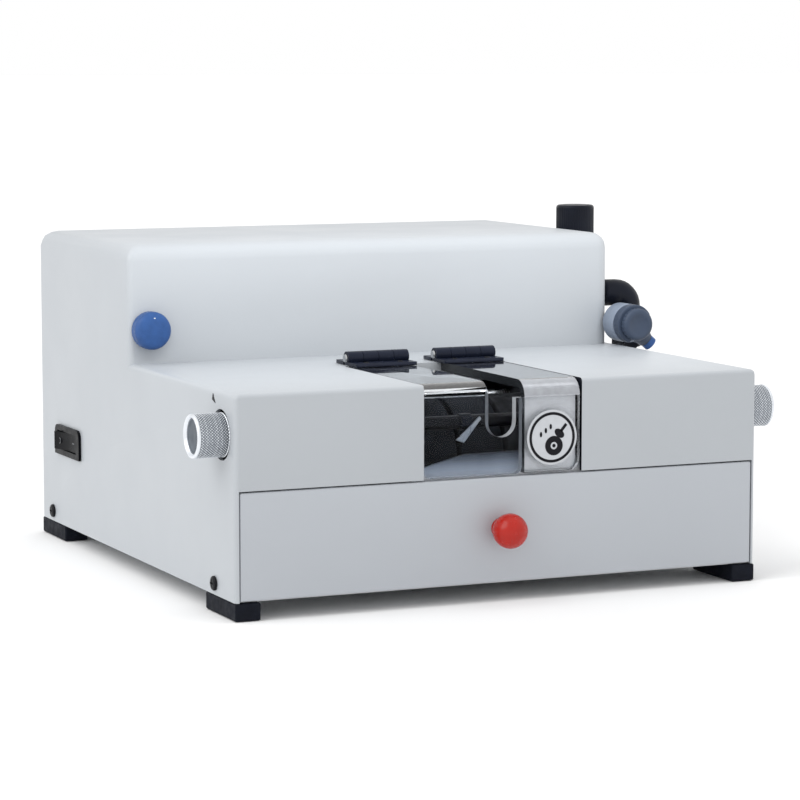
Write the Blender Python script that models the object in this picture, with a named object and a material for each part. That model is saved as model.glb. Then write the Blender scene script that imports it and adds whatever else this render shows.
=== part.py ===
"""Bench cabbing machine: a white casing with a raised motor housing at the back, grinding wheels in a
central recess under two hinged clear guards, a tilting work rest and a slurry drawer below.

Metres, +Z up. Everything is laid out in the casing's frame: x from its left wall, y from its front,
z from its bottom edge. The whole machine is then stood on its feet, centred over the world origin."""

import math

import bmesh
import bpy
from mathutils import Vector

# Casing
WIDTH = 0.340
DEPTH = 0.362
DECK = 0.1195
HUMP_TOP = 0.193
HUMP_FRONT = 0.182
HUMP_RIGHT = 0.336
SHEET = 0.0025
SPLIT = 0.064
FOOT = 0.0105
GAP = 0.0003
SCREW_Y = (0.033, 0.338)
SCREW_Z = 0.0068
SCREW_HOLE_R = 0.0026
FOOT_SIZE = (0.0155, 0.0485)
REAR_OPENING = ((0.040, 0.350, 0.022), (0.300, 0.370, 0.146))
BACK_PANEL = ((0.030, 0.012), (0.310, 0.156))
INLET = (0.072, 0.060)
INLET_FLANGE = (0.0180, 0.0150)
INLET_HOLE = (0.0140, 0.0115)
INLET_SOCKET = (0.0120, 0.0085)
LOUVRES = 6
LOUVRE_PITCH = 0.011
LOUVRE_HEIGHT = 0.0035

# Recess that the wheels sit in
RECESS_LEFT = 0.1174
RECESS_RIGHT = 0.2204
RECESS_BACK = 0.118
FLANGE = 0.0125
LINER = 0.0015
LINER_BOTTOM = 0.036
LIP_FRONT = 0.0072
LIP_TOP = ((RECESS_LEFT, 0.0685), (0.1465, 0.0768), (RECESS_RIGHT, 0.0780))

# Guards and their hinges
GUARD = 0.005
GUARD_TOP = DECK
GUARD_FRONT = 0.0005
GUARD_BEND = 0.010
GUARD_BOTTOM = SPLIT + 0.0006
LEFT_GUARD = (RECESS_LEFT + 0.0006, 0.1810)
RIGHT_GUARD = (0.1827, RECESS_RIGHT - 0.0012)
SLOT_LEFT = 0.159
SLOT_RIGHT = 0.177
NOTCH_BOTTOM = 0.0865
LABEL = (0.2006, 0.0850)
LABEL_R = 0.0165
HINGE_Y = 0.122
HINGE_Z = DECK + 0.0045
KNUCKLE_R = 0.0042
KNUCKLE = 0.01025
LEAF = 0.0020
LEAF_DEPTH = 0.0125
PIN_R = 0.0016
HINGE_STARTS = {"left": 0.1205, "right": 0.1800}

# Spindle, wheels and drive
SPINDLE_Y = 0.062
SPINDLE_Z = 0.070
SPINDLE_R = 0.005
WHEEL_R = 0.035
WHEEL_WIDTH = 0.028
WHEEL_PITCH = 0.031
FIRST_WHEEL = 0.1235
MOTOR_Y = 0.268
MOTOR_Z = 0.096
MOTOR_R = 0.040
MOTOR_SHAFT_R = 0.004
PULLEY_LEFT = 0.2435
PULLEY_WIDTH = 0.012
SPINDLE_TREAD = 0.0190
MOTOR_TREAD = 0.0240
RIM = 0.0025
BELT = 0.0020
MOTOR_ENDS = (0.095, 0.229)
CRADLE_ENDS = (0.125, 0.200)
CRADLE_HALF = 0.036
BEARING_R = 0.0130
BLOCK_HALF = 0.019
BLOCK_WIDTH = 0.012

# Work rest
REST_Y = 0.0215
REST_Z = 0.0944
REST_R = 0.004
KNOB_R = 0.013
KNOB_OUT = 0.0185
KNOB_HOLE_R = 0.0148
FINGER_LEFT = 0.1448

# Drawer
DRAWER_FRONT = 0.003
TRAY = ((0.040, 0.0033, 0.0045), (0.300, 0.1785, 0.0315))
TRAY_WALL = 0.002
BALL_R = 0.0105
BALL = (0.167, -0.0130, 0.033)

# Controls and water fittings
SWITCH_Y = 0.3025
SWITCH_Z = 0.0572
SWITCH = (SWITCH_Y, SWITCH_Z)
SWITCH_BEZEL = (0.0250, 0.00975)
SWITCH_HOLE = (0.0225, 0.0078)
SWITCH_BODY = (0.0221, 0.0075)
SWITCH_POCKET = (0.0195, 0.0062)
ROCKER_TILT = math.radians(7)
FLOW = (0.0135, HUMP_FRONT, 0.1405)
FLOW_R = 0.012
BOTTLE = (0.3562, 0.272)
BOTTLE_R = 0.0130
BOTTLE_BASE = 0.060
BOTTLE_TOP = 0.1820
BOTTLE_WALL = 0.0015
NECK_R = 0.0095
CAP_TOP = 0.2070
CAP_R = 0.01325
CLIP_WIDTH = 0.010
MANIFOLD = (0.104, 0.0985)
MANIFOLD_R = 0.0040
ELBOW_R = 0.0088
ELBOW_BEND = 0.0092
ELBOW = (0.3572, 0.198, 0.152)
ELBOW_END = 0.1265
STUB_R = 0.0055
REGULATOR = (0.3420, 0.134)
REGULATOR_R = 0.0127
REGULATOR_FRONT = 0.158
DIAL_R = 0.0108
SPOUT = (REGULATOR[0], 0.169, REGULATOR[1])
SPOUT_WAY = Vector((0.765, 0.0, -0.644))
SPOUT_LENGTH = 0.0185
SPOUT_R = 0.0100
COLLET_R = 0.0047

ORDER = {"X": (0, 1, 2), "Y": (1, 0, 2), "Z": (2, 0, 1)}


def clear_scene():
    for obj in list(bpy.data.objects):
        bpy.data.objects.remove(obj, do_unlink=True)


def material(name, colour, roughness, metallic=0.0, alpha=1.0):
    made = bpy.data.materials.new(name)
    made.use_nodes = True
    shader = made.node_tree.nodes["Principled BSDF"]
    shader.inputs["Base Color"].default_value = (*colour, 1.0)
    shader.inputs["Roughness"].default_value = roughness
    shader.inputs["Metallic"].default_value = metallic
    shader.inputs["Alpha"].default_value = alpha
    made.diffuse_color = (*colour, alpha)
    return made


def object_of(bm):
    """A scene object from a finished bmesh, with every face turned outwards."""
    bmesh.ops.recalc_face_normals(bm, faces=bm.faces)
    mesh = bpy.data.meshes.new("shape")
    bm.to_mesh(mesh)
    bm.free()
    made = bpy.data.objects.new("shape", mesh)
    bpy.context.collection.objects.link(made)
    return made


def point_on(axis, along, first, second):
    """A point given as a distance along an axis and the two coordinates across it, in x, y, z order."""
    point = [0.0, 0.0, 0.0]
    for index, value in zip(ORDER[axis], (along, first, second)):
        point[index] = value
    return point


def extruded(outline, axis, start, end):
    """A prism: an outline of pairs across an axis, carried from start to end along it."""
    bm = bmesh.new()
    rings = []
    for along in (start, end):
        rings.append([bm.verts.new(point_on(axis, along, a, b)) for a, b in outline])
    for ring in rings:
        bm.faces.new(ring)
    count = len(outline)
    for i in range(count):
        j = (i + 1) % count
        bm.faces.new((rings[0][i], rings[0][j], rings[1][j], rings[1][i]))
    return object_of(bm)


def box(low, high):
    outline = [(low[0], low[1]), (high[0], low[1]), (high[0], high[1]), (low[0], high[1])]
    return extruded(outline, "Z", low[2], high[2])


def facing_front(centre, half, near, far):
    """A block that faces the front: its centre and half size across, and the depths that it fills."""
    low = [middle - reach for middle, reach in zip(centre, half)]
    high = [middle + reach for middle, reach in zip(centre, half)]
    return box((low[0], near, low[1]), (high[0], far, high[1]))


def facing_side(centre, half, near, far):
    """A block that faces a side wall: its centre and half size across, and the reach that it fills."""
    low = [middle - reach for middle, reach in zip(centre, half)]
    high = [middle + reach for middle, reach in zip(centre, half)]
    return box((near, *low), (far, *high))


def turned(profile, axis, centre, sides=24, bored=False):
    """A solid turned about an axis. The profile holds (along, radius) pairs from end to end outside and,
    when bored, back along the bore. The centre holds the axis's place across it."""
    bm = bmesh.new()
    rings = []
    for along, radius in profile:
        if radius == 0:
            rings.append([bm.verts.new(point_on(axis, along, *centre))])
            continue
        ring = []
        for step in range(sides):
            turn = math.tau * (step + 0.5) / sides
            across = (centre[0] + radius * math.cos(turn), centre[1] + radius * math.sin(turn))
            ring.append(bm.verts.new(point_on(axis, along, *across)))
        rings.append(ring)
    pairs = list(zip(rings, rings[1:]))
    if bored:
        pairs.append((rings[-1], rings[0]))
    else:
        for ring in (rings[0], rings[-1]):
            if len(ring) > 1:
                bm.faces.new(ring)
    for near, far in pairs:
        for step in range(sides):
            after = (step + 1) % sides
            corners = [near[step % len(near)], near[after % len(near)]]
            corners += [far[after % len(far)], far[step % len(far)]]
            corners = list(dict.fromkeys(corners))
            if len(corners) > 2:
                bm.faces.new(corners)
    return object_of(bm)


def rod(axis, start, end, centre, radius, sides=24):
    return turned([(start, radius), (end, radius)], axis, centre, sides)


def tube(axis, start, end, centre, outer, inner, sides=24):
    profile = [(start, inner), (start, outer), (end, outer), (end, inner)]
    return turned(profile, axis, centre, sides, bored=True)


def arc(centre, radius, first, last, steps):
    """Points along an arc, from the first to the last angle in degrees."""
    points = []
    for step in range(steps + 1):
        turn = math.radians(first + (last - first) * step / steps)
        points.append((centre[0] + radius * math.cos(turn), centre[1] + radius * math.sin(turn)))
    return points


def applied(obj):
    """Replaces the object's mesh by what its modifiers make of it."""
    graph = bpy.context.evaluated_depsgraph_get()
    mesh = bpy.data.meshes.new_from_object(obj.evaluated_get(graph))
    obj.modifiers.clear()
    obj.data = mesh
    return obj


def combined(base, others, operation):
    for other in others:
        modifier = base.modifiers.new(operation, "BOOLEAN")
        modifier.operation = operation
        modifier.solver = "EXACT"
        modifier.object = other
        applied(base)
        bpy.data.objects.remove(other, do_unlink=True)
    return base


def joined(base, *others):
    return combined(base, others, "UNION")


def cut(base, *cutters):
    return combined(base, cutters, "DIFFERENCE")


def softened(obj, width, segments, chosen):
    """Rounds the edges that chosen(middle, direction) picks, by their middle point and unit direction."""
    bm = bmesh.new()
    bm.from_mesh(obj.data)
    bmesh.ops.dissolve_limit(bm, angle_limit=0.001, verts=bm.verts, edges=bm.edges)
    edges = []
    for edge in bm.edges:
        ends = [vert.co for vert in edge.verts]
        if chosen((ends[0] + ends[1]) / 2, (ends[1] - ends[0]).normalized()):
            edges.append(edge)
    bmesh.ops.bevel(bm, geom=edges, offset=width, offset_type="OFFSET", segments=segments,
                    profile=0.5, affect="EDGES", clamp_overlap=True)
    bm.to_mesh(obj.data)
    bm.free()
    return obj


def node(name, obj, look, frame, origin=None, angle=35):
    """Names a finished piece, gives it its material and puts its origin on its joint's axis."""
    obj.name = name
    obj.data.name = name
    obj.data.materials.clear()
    obj.data.materials.append(look)
    obj.data.shade_smooth()
    obj.data.set_sharp_from_angle(angle=math.radians(angle))
    if origin:
        for vert in obj.data.vertices:
            vert.co -= Vector(origin)
        obj.location = origin
    obj.parent = frame
    return obj


def casing(inset, bottom):
    """The stepped outer form, drawn in by an inset: a low front with its deck and a tall back."""
    left = inset
    front = inset
    right = WIDTH - inset
    back = DEPTH - inset
    deck = DECK - inset
    top = HUMP_TOP - inset
    hump_right = HUMP_RIGHT - inset
    hump_front = HUMP_FRONT + inset
    bm = bmesh.new()
    corner = {}
    for name, place in {
        "q0": (left, front, bottom), "q1": (right, front, bottom),
        "q2": (right, back, bottom), "q3": (left, back, bottom),
        "p0": (left, front, deck), "p1": (right, front, deck), "p2": (right, back, deck),
        "e": (left, hump_front, deck), "f": (hump_right, hump_front, deck), "g": (hump_right, back, deck),
        "a": (left, hump_front, top), "b": (hump_right, hump_front, top),
        "c": (hump_right, back, top), "d": (left, back, top),
    }.items():
        corner[name] = bm.verts.new(place)
    faces = ("q0 p0 e a d q3", "p0 p1 p2 g f e", "e f b a", "f g c b", "a b c d", "q0 q1 p1 p0",
             "q1 q2 p2 p1", "q3 d c g p2 q2", "q0 q3 q2 q1")
    for names in faces:
        bm.faces.new([corner[name] for name in names.split()])
    weights = bm.edges.layers.float.new("bevel_weight_edge")
    radii = {"a b": 0.010, "b c": 0.010, "c d": 0.010, "d a": 0.010, "a e": 0.004, "b f": 0.010,
             "c g": 0.006, "p0 p1": 0.0025, "p1 p2": 0.004, "p0 e": 0.004, "q0 p0": 0.003,
             "q1 p1": 0.003, "q2 p2": 0.003, "q3 d": 0.003}
    for names, radius in radii.items():
        first, second = [corner[name] for name in names.split()]
        bm.edges.get((first, second))[weights] = max(radius - inset, 0.0005) / 0.010
    made = object_of(bm)
    bevel = made.modifiers.new("rounding", "BEVEL")
    bevel.width = 0.010
    bevel.segments = 4
    bevel.limit_method = "WEIGHT"
    bevel.use_clamp_overlap = False
    return applied(made)


def main_cover(look, frame):
    shell = casing(0.0, 0.0)
    cut(shell, casing(SHEET, -0.010))
    around = 0.0024
    collar = box((RECESS_LEFT - around + 0.0004, 0.001, DECK - FLANGE),
                 (RECESS_RIGHT + around - 0.0004, RECESS_BACK + around, DECK - 0.001))
    joined(shell, collar)
    cutters = [
        box((RECESS_LEFT, -0.010, 0.050), (RECESS_RIGHT, RECESS_BACK, 0.200)),
        box((SHEET, -0.010, -0.010), (WIDTH - SHEET, 0.006, SPLIT)),
        rod("X", -0.010, 0.010, (REST_Y, REST_Z), KNOB_HOLE_R, 32),
        rod("X", 0.330, 0.350, (REST_Y, REST_Z), KNOB_HOLE_R, 32),
        rod("Y", 0.175, 0.190, (FLOW[0], FLOW[2]), 0.0036, 12),
        rod("X", 0.325, 0.345, ELBOW[1:], STUB_R + 0.0005, 16),
        facing_side(SWITCH, SWITCH_HOLE, -0.010, 0.010),
        box(*REAR_OPENING),
    ]
    for side in (-0.010, WIDTH - 0.010):
        for along in SCREW_Y:
            cutters.append(rod("X", side, side + 0.020, (along, SCREW_Z), SCREW_HOLE_R, 12))
    node("main_cover", cut(shell, *cutters), look, frame, angle=40)


def base_plate(look, frame):
    floor = box((SHEET + GAP, 0.0036, 0.0), (WIDTH - SHEET - GAP, DEPTH - SHEET - GAP, 0.0025))
    flanges = [
        box((SHEET + GAP, 0.0205, 0.0005), (SHEET + GAP + 0.002, 0.350, 0.016)),
        box((WIDTH - SHEET - GAP - 0.002, 0.0205, 0.0005), (WIDTH - SHEET - GAP, 0.350, 0.016)),
    ]
    runners = [
        box((TRAY[0][0] - 0.0025, 0.006, 0.0005), (TRAY[0][0] - 0.0005, 0.184, 0.020)),
        box((TRAY[1][0] + 0.0005, 0.006, 0.0005), (TRAY[1][0] + 0.0025, 0.184, 0.020)),
    ]
    joined(floor, *flanges, *runners)
    holes = []
    for side in (-0.005, WIDTH - 0.010):
        for along in SCREW_Y:
            holes.append(rod("X", side, side + 0.015, (along, SCREW_Z), SCREW_HOLE_R - 0.0002, 12))
    node("base_plate", cut(floor, *holes), look, frame)


def feet(look, frame):
    width, depth = FOOT_SIZE
    for side, left in (("left", 0.0), ("right", WIDTH - width)):
        for end, front in (("front", 0.0), ("rear", DEPTH - depth)):
            block = box((left, front, -FOOT), (left + width, front + depth, -GAP))
            softened(block, 0.0008, 2, lambda middle, way: middle.z < -FOOT + 0.001)
            node(f"foot_{end}_{side}", block, look, frame)


def screw_profile(head, shank, reach, height):
    """A pan-head screw whose head sits on a face at 0 and whose shank runs to reach."""
    return [(-GAP - height, 0.0), (-GAP - height, head * 0.45), (-GAP - height * 0.75, head * 0.85),
            (-GAP - height * 0.3, head), (-GAP, head), (-GAP, shank), (reach, shank), (reach, 0.0)]


def cover_screws(look, frame):
    for side, wall, way in (("left", 0.0, 1), ("right", WIDTH, -1)):
        for end, along in zip(("front", "rear"), SCREW_Y):
            profile = screw_profile(0.0044, 0.0019, 0.0065, 0.0020)
            profile = [(wall + way * reach, radius) for reach, radius in profile]
            screw = turned(profile, "X", (along, SCREW_Z), 16)
            node(f"cover_screw_{end}_{side}", screw, look, frame)


def back_panel(sheet_look, plastic_look, frame):
    """The removable rear sheet with its louvres, and the power inlet that it carries."""
    face = DEPTH + GAP
    low, high = BACK_PANEL
    panel = box((low[0], face, low[1]), (high[0], face + 0.002, high[1]))
    softened(panel, 0.004, 3, lambda middle, way: abs(way.y) > 0.9)
    cutters = [facing_front(INLET, INLET_HOLE, face - 0.01, face + 0.01)]
    for row in range(LOUVRES):
        level = 0.070 + LOUVRE_PITCH * row
        cutters.append(box((0.170, face - 0.01, level), (0.280, face + 0.01, level + LOUVRE_HEIGHT)))
    node("back_panel", cut(panel, *cutters), sheet_look, frame)
    shell = [size - GAP for size in INLET_HOLE]
    socket = facing_front(INLET, shell, face - 0.018, face + 0.004)
    joined(socket, facing_front(INLET, INLET_FLANGE, face + 0.002 + GAP, face + 0.0045))
    hollow = facing_front(INLET, INLET_SOCKET, face - 0.012, face + 0.01)
    node("power_inlet", cut(socket, hollow), plastic_look, frame)


def drawer_edge(middle, way):
    return middle.y < 0.0005 or (abs(way.y) > 0.9 and middle.z > 0.05)


def drawer(paint, plastic, red, frame):
    front = box((SHEET + 0.0006, 0.0, 0.0008), (WIDTH - SHEET - 0.0006, DRAWER_FRONT, SPLIT - 0.0008))
    softened(front, 0.0012, 2, drawer_edge)
    cut(front, rod("Y", -0.01, 0.01, (BALL[0], BALL[2]), 0.0024, 12))
    node("drawer_front", front, paint, frame)
    low, high = TRAY
    tray = box(low, high)
    inner = box([value + TRAY_WALL for value in low],
                (high[0] - TRAY_WALL, high[1] - TRAY_WALL, high[2] + 0.01))
    softened(tray, 0.003, 2, lambda middle, way: abs(way.z) > 0.9)
    softened(inner, 0.001, 1, lambda middle, way: abs(way.z) > 0.9)
    node("drawer_tray", cut(tray, inner), plastic, frame)
    profile = []
    for step in range(9):
        turn = math.radians(180 - 156 * step / 8)
        profile.append((BALL[1] + BALL_R * math.cos(turn), BALL_R * math.sin(turn) if step else 0.0))
    profile += [(-GAP, 0.0045), (-GAP, 0.0020), (0.0029, 0.0020), (0.0029, 0.0)]
    node("drawer_knob", turned(profile, "Y", (BALL[0], BALL[2]), 18), red, frame)


def splash_liner(look, frame):
    left = RECESS_LEFT - 0.0024
    right = RECESS_RIGHT + 0.0024
    back = RECESS_BACK + 0.0028
    front = 0.009
    outline = [(left - LINER, front), (left, front), (left, back), (right, back), (right, front),
               (right + LINER, front), (right + LINER, back + LINER), (left - LINER, back + LINER)]
    liner = extruded(outline, "Z", LINER_BOTTOM, DECK - SHEET - 0.0005)
    lip_top = [(left - LINER, LIP_TOP[0][1]), LIP_TOP[1], (right + LINER, LIP_TOP[2][1])]
    lip = [(right + LINER, LINER_BOTTOM + 0.014), (left - LINER, LINER_BOTTOM + 0.014)] + lip_top
    joined(liner, extruded(lip, "Y", LIP_FRONT, front + 0.0005))
    holes = [rod("X", left - 0.01, right + 0.01, (SPINDLE_Y, SPINDLE_Z), 0.009, 20),
             rod("X", left - 0.01, right + 0.01, (REST_Y, REST_Z), REST_R + 0.0005, 16)]
    node("splash_liner", cut(liner, *holes), look, frame)


def guard_outline():
    """Side profile of a bent guard: a top plate level with the deck, a bend and a front panel."""
    rear = RECESS_BACK - 0.0008
    centre = (GUARD_FRONT + GUARD_BEND, GUARD_TOP - GUARD_BEND)
    outline = [(rear, GUARD_TOP - GUARD), (rear, GUARD_TOP)]
    outline += arc(centre, GUARD_BEND, 90, 180, 6)
    outline += [(GUARD_FRONT, GUARD_BOTTOM), (GUARD_FRONT + GUARD, GUARD_BOTTOM)]
    outline += arc(centre, GUARD_BEND - GUARD, 180, 90, 6)
    return outline


def lower_corner(middle, way):
    return abs(way.y) > 0.9 and middle.z < GUARD_BOTTOM + 0.002


def lower_right_corner(middle, way):
    return lower_corner(middle, way) and middle.x > LABEL[0]


def left_guard(clear, frame, pivot):
    """The wider guard: its plate stops short of the other's, and its front panel has a rounded notch."""
    guard = extruded(guard_outline(), "X", *LEFT_GUARD)
    softened(guard, 0.004, 3, lower_corner)
    above = DECK + 0.010
    radius = (SLOT_RIGHT - SLOT_LEFT) / 2
    notch = [(SLOT_RIGHT, above), (SLOT_LEFT, above)]
    notch += arc((SLOT_LEFT + radius, NOTCH_BOTTOM + radius), radius, 180, 360, 10)
    cut(guard, extruded(notch, "Y", -0.010, 0.020))
    slot = box((SLOT_LEFT + 0.00001, -0.010, GUARD_TOP - GUARD_BEND), (0.200, RECESS_BACK, above))
    node("guard_left", cut(guard, slot), clear, frame, pivot)


def right_guard(clear, white, label, frame, pivot):
    """The narrower guard, the white plate behind its front panel and the round label on it."""
    guard = extruded(guard_outline(), "X", *RIGHT_GUARD)
    softened(guard, 0.007, 4, lower_right_corner)
    node("guard_right", guard, clear, frame, pivot)
    behind = GUARD_FRONT + GUARD + GAP
    low = (RIGHT_GUARD[0] + 0.0005, behind, GUARD_BOTTOM + 0.001)
    high = (RIGHT_GUARD[1] - 0.0008, behind + 0.001, GUARD_TOP - GUARD_BEND)
    backing = box(low, high)
    softened(backing, 0.006, 4, lower_right_corner)
    node("guard_backing_plate", backing, white, frame, pivot)
    sticker = rod("Y", GUARD_FRONT - GAP - 0.0004, GUARD_FRONT - GAP, LABEL, LABEL_R, 32)
    node("guard_label", sticker, label, frame, pivot)


def guards(clear, white, label, frame):
    pivot = (0.0, HINGE_Y, HINGE_Z)
    left_guard(clear, frame, pivot)
    right_guard(clear, white, label, frame, pivot)


def hinge_leaf(start, moving):
    """One leaf of a guard hinge with its two knuckles. The moving leaf lies on its guard, in front."""
    end = start + 4 * KNUCKLE - GAP
    bottom = DECK + GAP
    if moving:
        near = HINGE_Y - KNUCKLE_R - GAP - LEAF_DEPTH
        plate = box((start, near, bottom), (end, near + LEAF_DEPTH, bottom + LEAF))
        edge = near + 0.0001
        softened(plate, 0.0012, 1, lambda middle, way: middle.y < edge and middle.z > bottom + LEAF / 2)
    else:
        near = HINGE_Y + KNUCKLE_R + GAP
        plate = box((start, near, bottom), (end, near + LEAF_DEPTH, bottom + LEAF))
        softened(plate, 0.0015, 2, lambda middle, way: abs(way.z) > 0.9 and middle.y > near + 0.01)
    for index in range(4):
        if (index % 2 == 0) != moving:
            continue
        low = start + index * KNUCKLE
        high = low + KNUCKLE - GAP
        front, back = sorted((HINGE_Y, near + (LEAF_DEPTH - 0.001 if moving else 0.001)))
        inside = 0.0001
        tab = box((low + inside, front, bottom + inside), (high - inside, back, bottom + LEAF - inside))
        knuckle = rod("X", low, high, (HINGE_Y, HINGE_Z), KNUCKLE_R, 16)
        joined(plate, tab, knuckle)
    return cut(plate, rod("X", start - 0.01, end + 0.01, (HINGE_Y, HINGE_Z), PIN_R + GAP, 12))


def hinges(black, steel, frame):
    pivot = (0.0, HINGE_Y, HINGE_Z)
    for side, start in HINGE_STARTS.items():
        node(f"hinge_fixed_leaf_{side}", hinge_leaf(start, False), black, frame)
        node(f"hinge_moving_leaf_{side}", hinge_leaf(start, True), black, frame, pivot)
        end = start + 4 * KNUCKLE
        profile = [(start - 0.0013, 0.0), (start - 0.0013, PIN_R + 0.0006), (start - GAP, PIN_R + 0.0010),
                   (start - GAP, PIN_R), (end + 0.0008, PIN_R), (end + 0.0008, 0.0)]
        node(f"hinge_pin_{side}", turned(profile, "X", (HINGE_Y, HINGE_Z), 12), steel, frame)


def spindle(steel, abrasive, aluminium, frame):
    axis = (SPINDLE_Y, SPINDLE_Z)
    pivot = (0.0, *axis)
    shoulder = SPINDLE_R + 0.001
    profile = [(0.0965, 0.0), (0.0965, SPINDLE_R - 0.0005), (0.0970, SPINDLE_R), (0.1160, SPINDLE_R),
               (0.1160, shoulder), (0.2215, shoulder), (0.2215, SPINDLE_R), (0.2570, SPINDLE_R),
               (0.2575, SPINDLE_R - 0.0005), (0.2575, 0.0)]
    node("spindle", turned(profile, "X", axis, 20), steel, frame, pivot)
    for index, name in enumerate(("coarse", "medium", "fine")):
        start = FIRST_WHEEL + index * WHEEL_PITCH
        end = start + WHEEL_WIDTH
        profile = [(start, shoulder + GAP), (start, WHEEL_R - 0.001), (start + 0.001, WHEEL_R),
                   (end - 0.001, WHEEL_R), (end, WHEEL_R - 0.001), (end, shoulder + GAP)]
        node(f"grinding_wheel_{name}", turned(profile, "X", axis, 32, bored=True), abrasive, frame, pivot)
    for index in range(2):
        start = FIRST_WHEEL + index * WHEEL_PITCH + WHEEL_WIDTH + GAP
        ring = tube("X", start, start + WHEEL_PITCH - WHEEL_WIDTH - 2 * GAP, axis, 0.0120, shoulder + GAP, 20)
        node(f"wheel_spacer_{index + 1}", ring, aluminium, frame, pivot)
    nut_start = FIRST_WHEEL + 2 * WHEEL_PITCH + WHEEL_WIDTH + GAP
    nut = rod("X", nut_start, nut_start + 0.006, axis, 0.0105, 6)
    cut(nut, rod("X", nut_start - 0.01, nut_start + 0.01, axis, shoulder + GAP, 16))
    node("spindle_nut", nut, steel, frame, pivot)


def bearings(aluminium, steel, frame):
    axis = (SPINDLE_Y, SPINDLE_Z)
    inner = {"left": RECESS_LEFT - 0.0024 - LINER - GAP, "right": RECESS_RIGHT + 0.0024 + LINER + GAP}
    for side, way in (("left", -1), ("right", 1)):
        near, far = sorted((inner[side], inner[side] + way * BLOCK_WIDTH))
        block = facing_side(axis, (BLOCK_HALF, BLOCK_HALF), near, far)
        softened(block, 0.004, 3, lambda middle, direction: abs(direction.x) > 0.9)
        cut(block, rod("X", near - 0.01, far + 0.01, axis, BEARING_R + GAP, 28))
        node(f"bearing_block_{side}", block, aluminium, frame)
        ring = tube("X", near + 0.002, far - 0.002, axis, BEARING_R, SPINDLE_R + GAP, 28)
        node(f"bearing_{side}", ring, steel, frame)


def pulley(axis, tread, bore):
    end = PULLEY_LEFT + PULLEY_WIDTH
    profile = [(PULLEY_LEFT, bore), (PULLEY_LEFT, tread + RIM), (PULLEY_LEFT + 0.001, tread + RIM),
               (PULLEY_LEFT + 0.0015, tread), (end - 0.0015, tread), (end - 0.001, tread + RIM),
               (end, tread + RIM), (end, bore)]
    return turned(profile, "X", axis, 28, bored=True)


def belt_outline(offset, steps):
    """The line that a belt follows round both pulleys, at an offset from their treads."""
    across = (MOTOR_Y - SPINDLE_Y, MOTOR_Z - SPINDLE_Z)
    lean = math.degrees(math.atan2(across[1], across[0]))
    spread = math.degrees(math.acos((SPINDLE_TREAD - MOTOR_TREAD) / math.hypot(*across)))
    small = arc((SPINDLE_Y, SPINDLE_Z), SPINDLE_TREAD + offset, lean + spread, lean + 360 - spread, steps)
    large = arc((MOTOR_Y, MOTOR_Z), MOTOR_TREAD + offset, lean - spread, lean + spread, steps)
    return small + large


def drive(aluminium, rubber, steel, motor_look, frame):
    motor_axis = (MOTOR_Y, MOTOR_Z)
    motor_pivot = (0.0, *motor_axis)
    spindle_axis = (SPINDLE_Y, SPINDLE_Z)
    spindle_pulley = pulley(spindle_axis, SPINDLE_TREAD, SPINDLE_R + GAP)
    node("spindle_pulley", spindle_pulley, aluminium, frame, (0.0, *spindle_axis))
    node("motor_pulley", pulley(motor_axis, MOTOR_TREAD, MOTOR_SHAFT_R + GAP), aluminium, frame, motor_pivot)
    low = PULLEY_LEFT + 0.002
    high = PULLEY_LEFT + PULLEY_WIDTH - 0.002
    band = extruded(belt_outline(GAP + BELT, 14), "X", low, high)
    cut(band, extruded(belt_outline(GAP, 14), "X", low - 0.01, high + 0.01))
    node("drive_belt", band, rubber, frame)
    left, right = MOTOR_ENDS
    shaft_start = 0.200
    profile = [(left, 0.0), (left, 0.014), (left + 0.005, 0.016), (left + 0.007, MOTOR_R - 0.004),
               (left + 0.011, MOTOR_R), (right - 0.011, MOTOR_R), (right - 0.007, MOTOR_R - 0.004),
               (right - 0.004, 0.018), (right, 0.015), (right, MOTOR_SHAFT_R + GAP),
               (shaft_start, MOTOR_SHAFT_R + GAP), (shaft_start, 0.0)]
    node("motor", turned(profile, "X", motor_axis, 28), motor_look, frame)
    shaft = rod("X", shaft_start + GAP, PULLEY_LEFT + PULLEY_WIDTH + 0.0015, motor_axis, MOTOR_SHAFT_R, 16)
    node("motor_shaft", shaft, steel, frame, motor_pivot)
    left, right = CRADLE_ENDS
    cradle = box((left, MOTOR_Y - CRADLE_HALF, 0.0025 + GAP), (right, MOTOR_Y + CRADLE_HALF, MOTOR_Z - 0.018))
    seat = rod("X", left - 0.02, right + 0.02, motor_axis, MOTOR_R + GAP, 40)
    tunnel = box((left - 0.02, MOTOR_Y - 0.026, 0.007), (right + 0.02, MOTOR_Y + 0.026, 0.046))
    node("motor_cradle", cut(cradle, seat, tunnel), steel, frame)


def rest_finger():
    """A clamp collar on the bar and, in front of it, a slanted blade that narrows up to the right."""
    collar = tube("X", FINGER_LEFT + 0.004, FINGER_LEFT + 0.012, (REST_Y, REST_Z), 0.0066, REST_R + GAP, 20)
    outline = [(FINGER_LEFT, REST_Z - 0.0100), (FINGER_LEFT + 0.0050, REST_Z - 0.0120),
               (FINGER_LEFT + 0.0165, REST_Z + 0.0020), (FINGER_LEFT + 0.0155, REST_Z + 0.0035)]
    back = REST_Y - REST_R - GAP
    return joined(collar, extruded(outline, "Y", back - 0.0016, back))


def grip_knob(wall, way):
    """A hand knob with a dished end and a blind bore for the bar; it stands out of a side wall."""
    reaches = [(-KNOB_OUT + 0.0015, 0.0), (-KNOB_OUT + 0.0015, 0.0090), (-KNOB_OUT, 0.0105),
               (-KNOB_OUT, KNOB_R - 0.0010), (-KNOB_OUT + 0.0010, KNOB_R), (0.0040, KNOB_R),
               (0.0050, KNOB_R - 0.0010), (0.0050, REST_R + GAP), (-0.0110, REST_R + GAP), (-0.0110, 0.0)]
    return turned([(wall + way * reach, radius) for reach, radius in reaches], "X", (REST_Y, REST_Z), 28)


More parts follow.
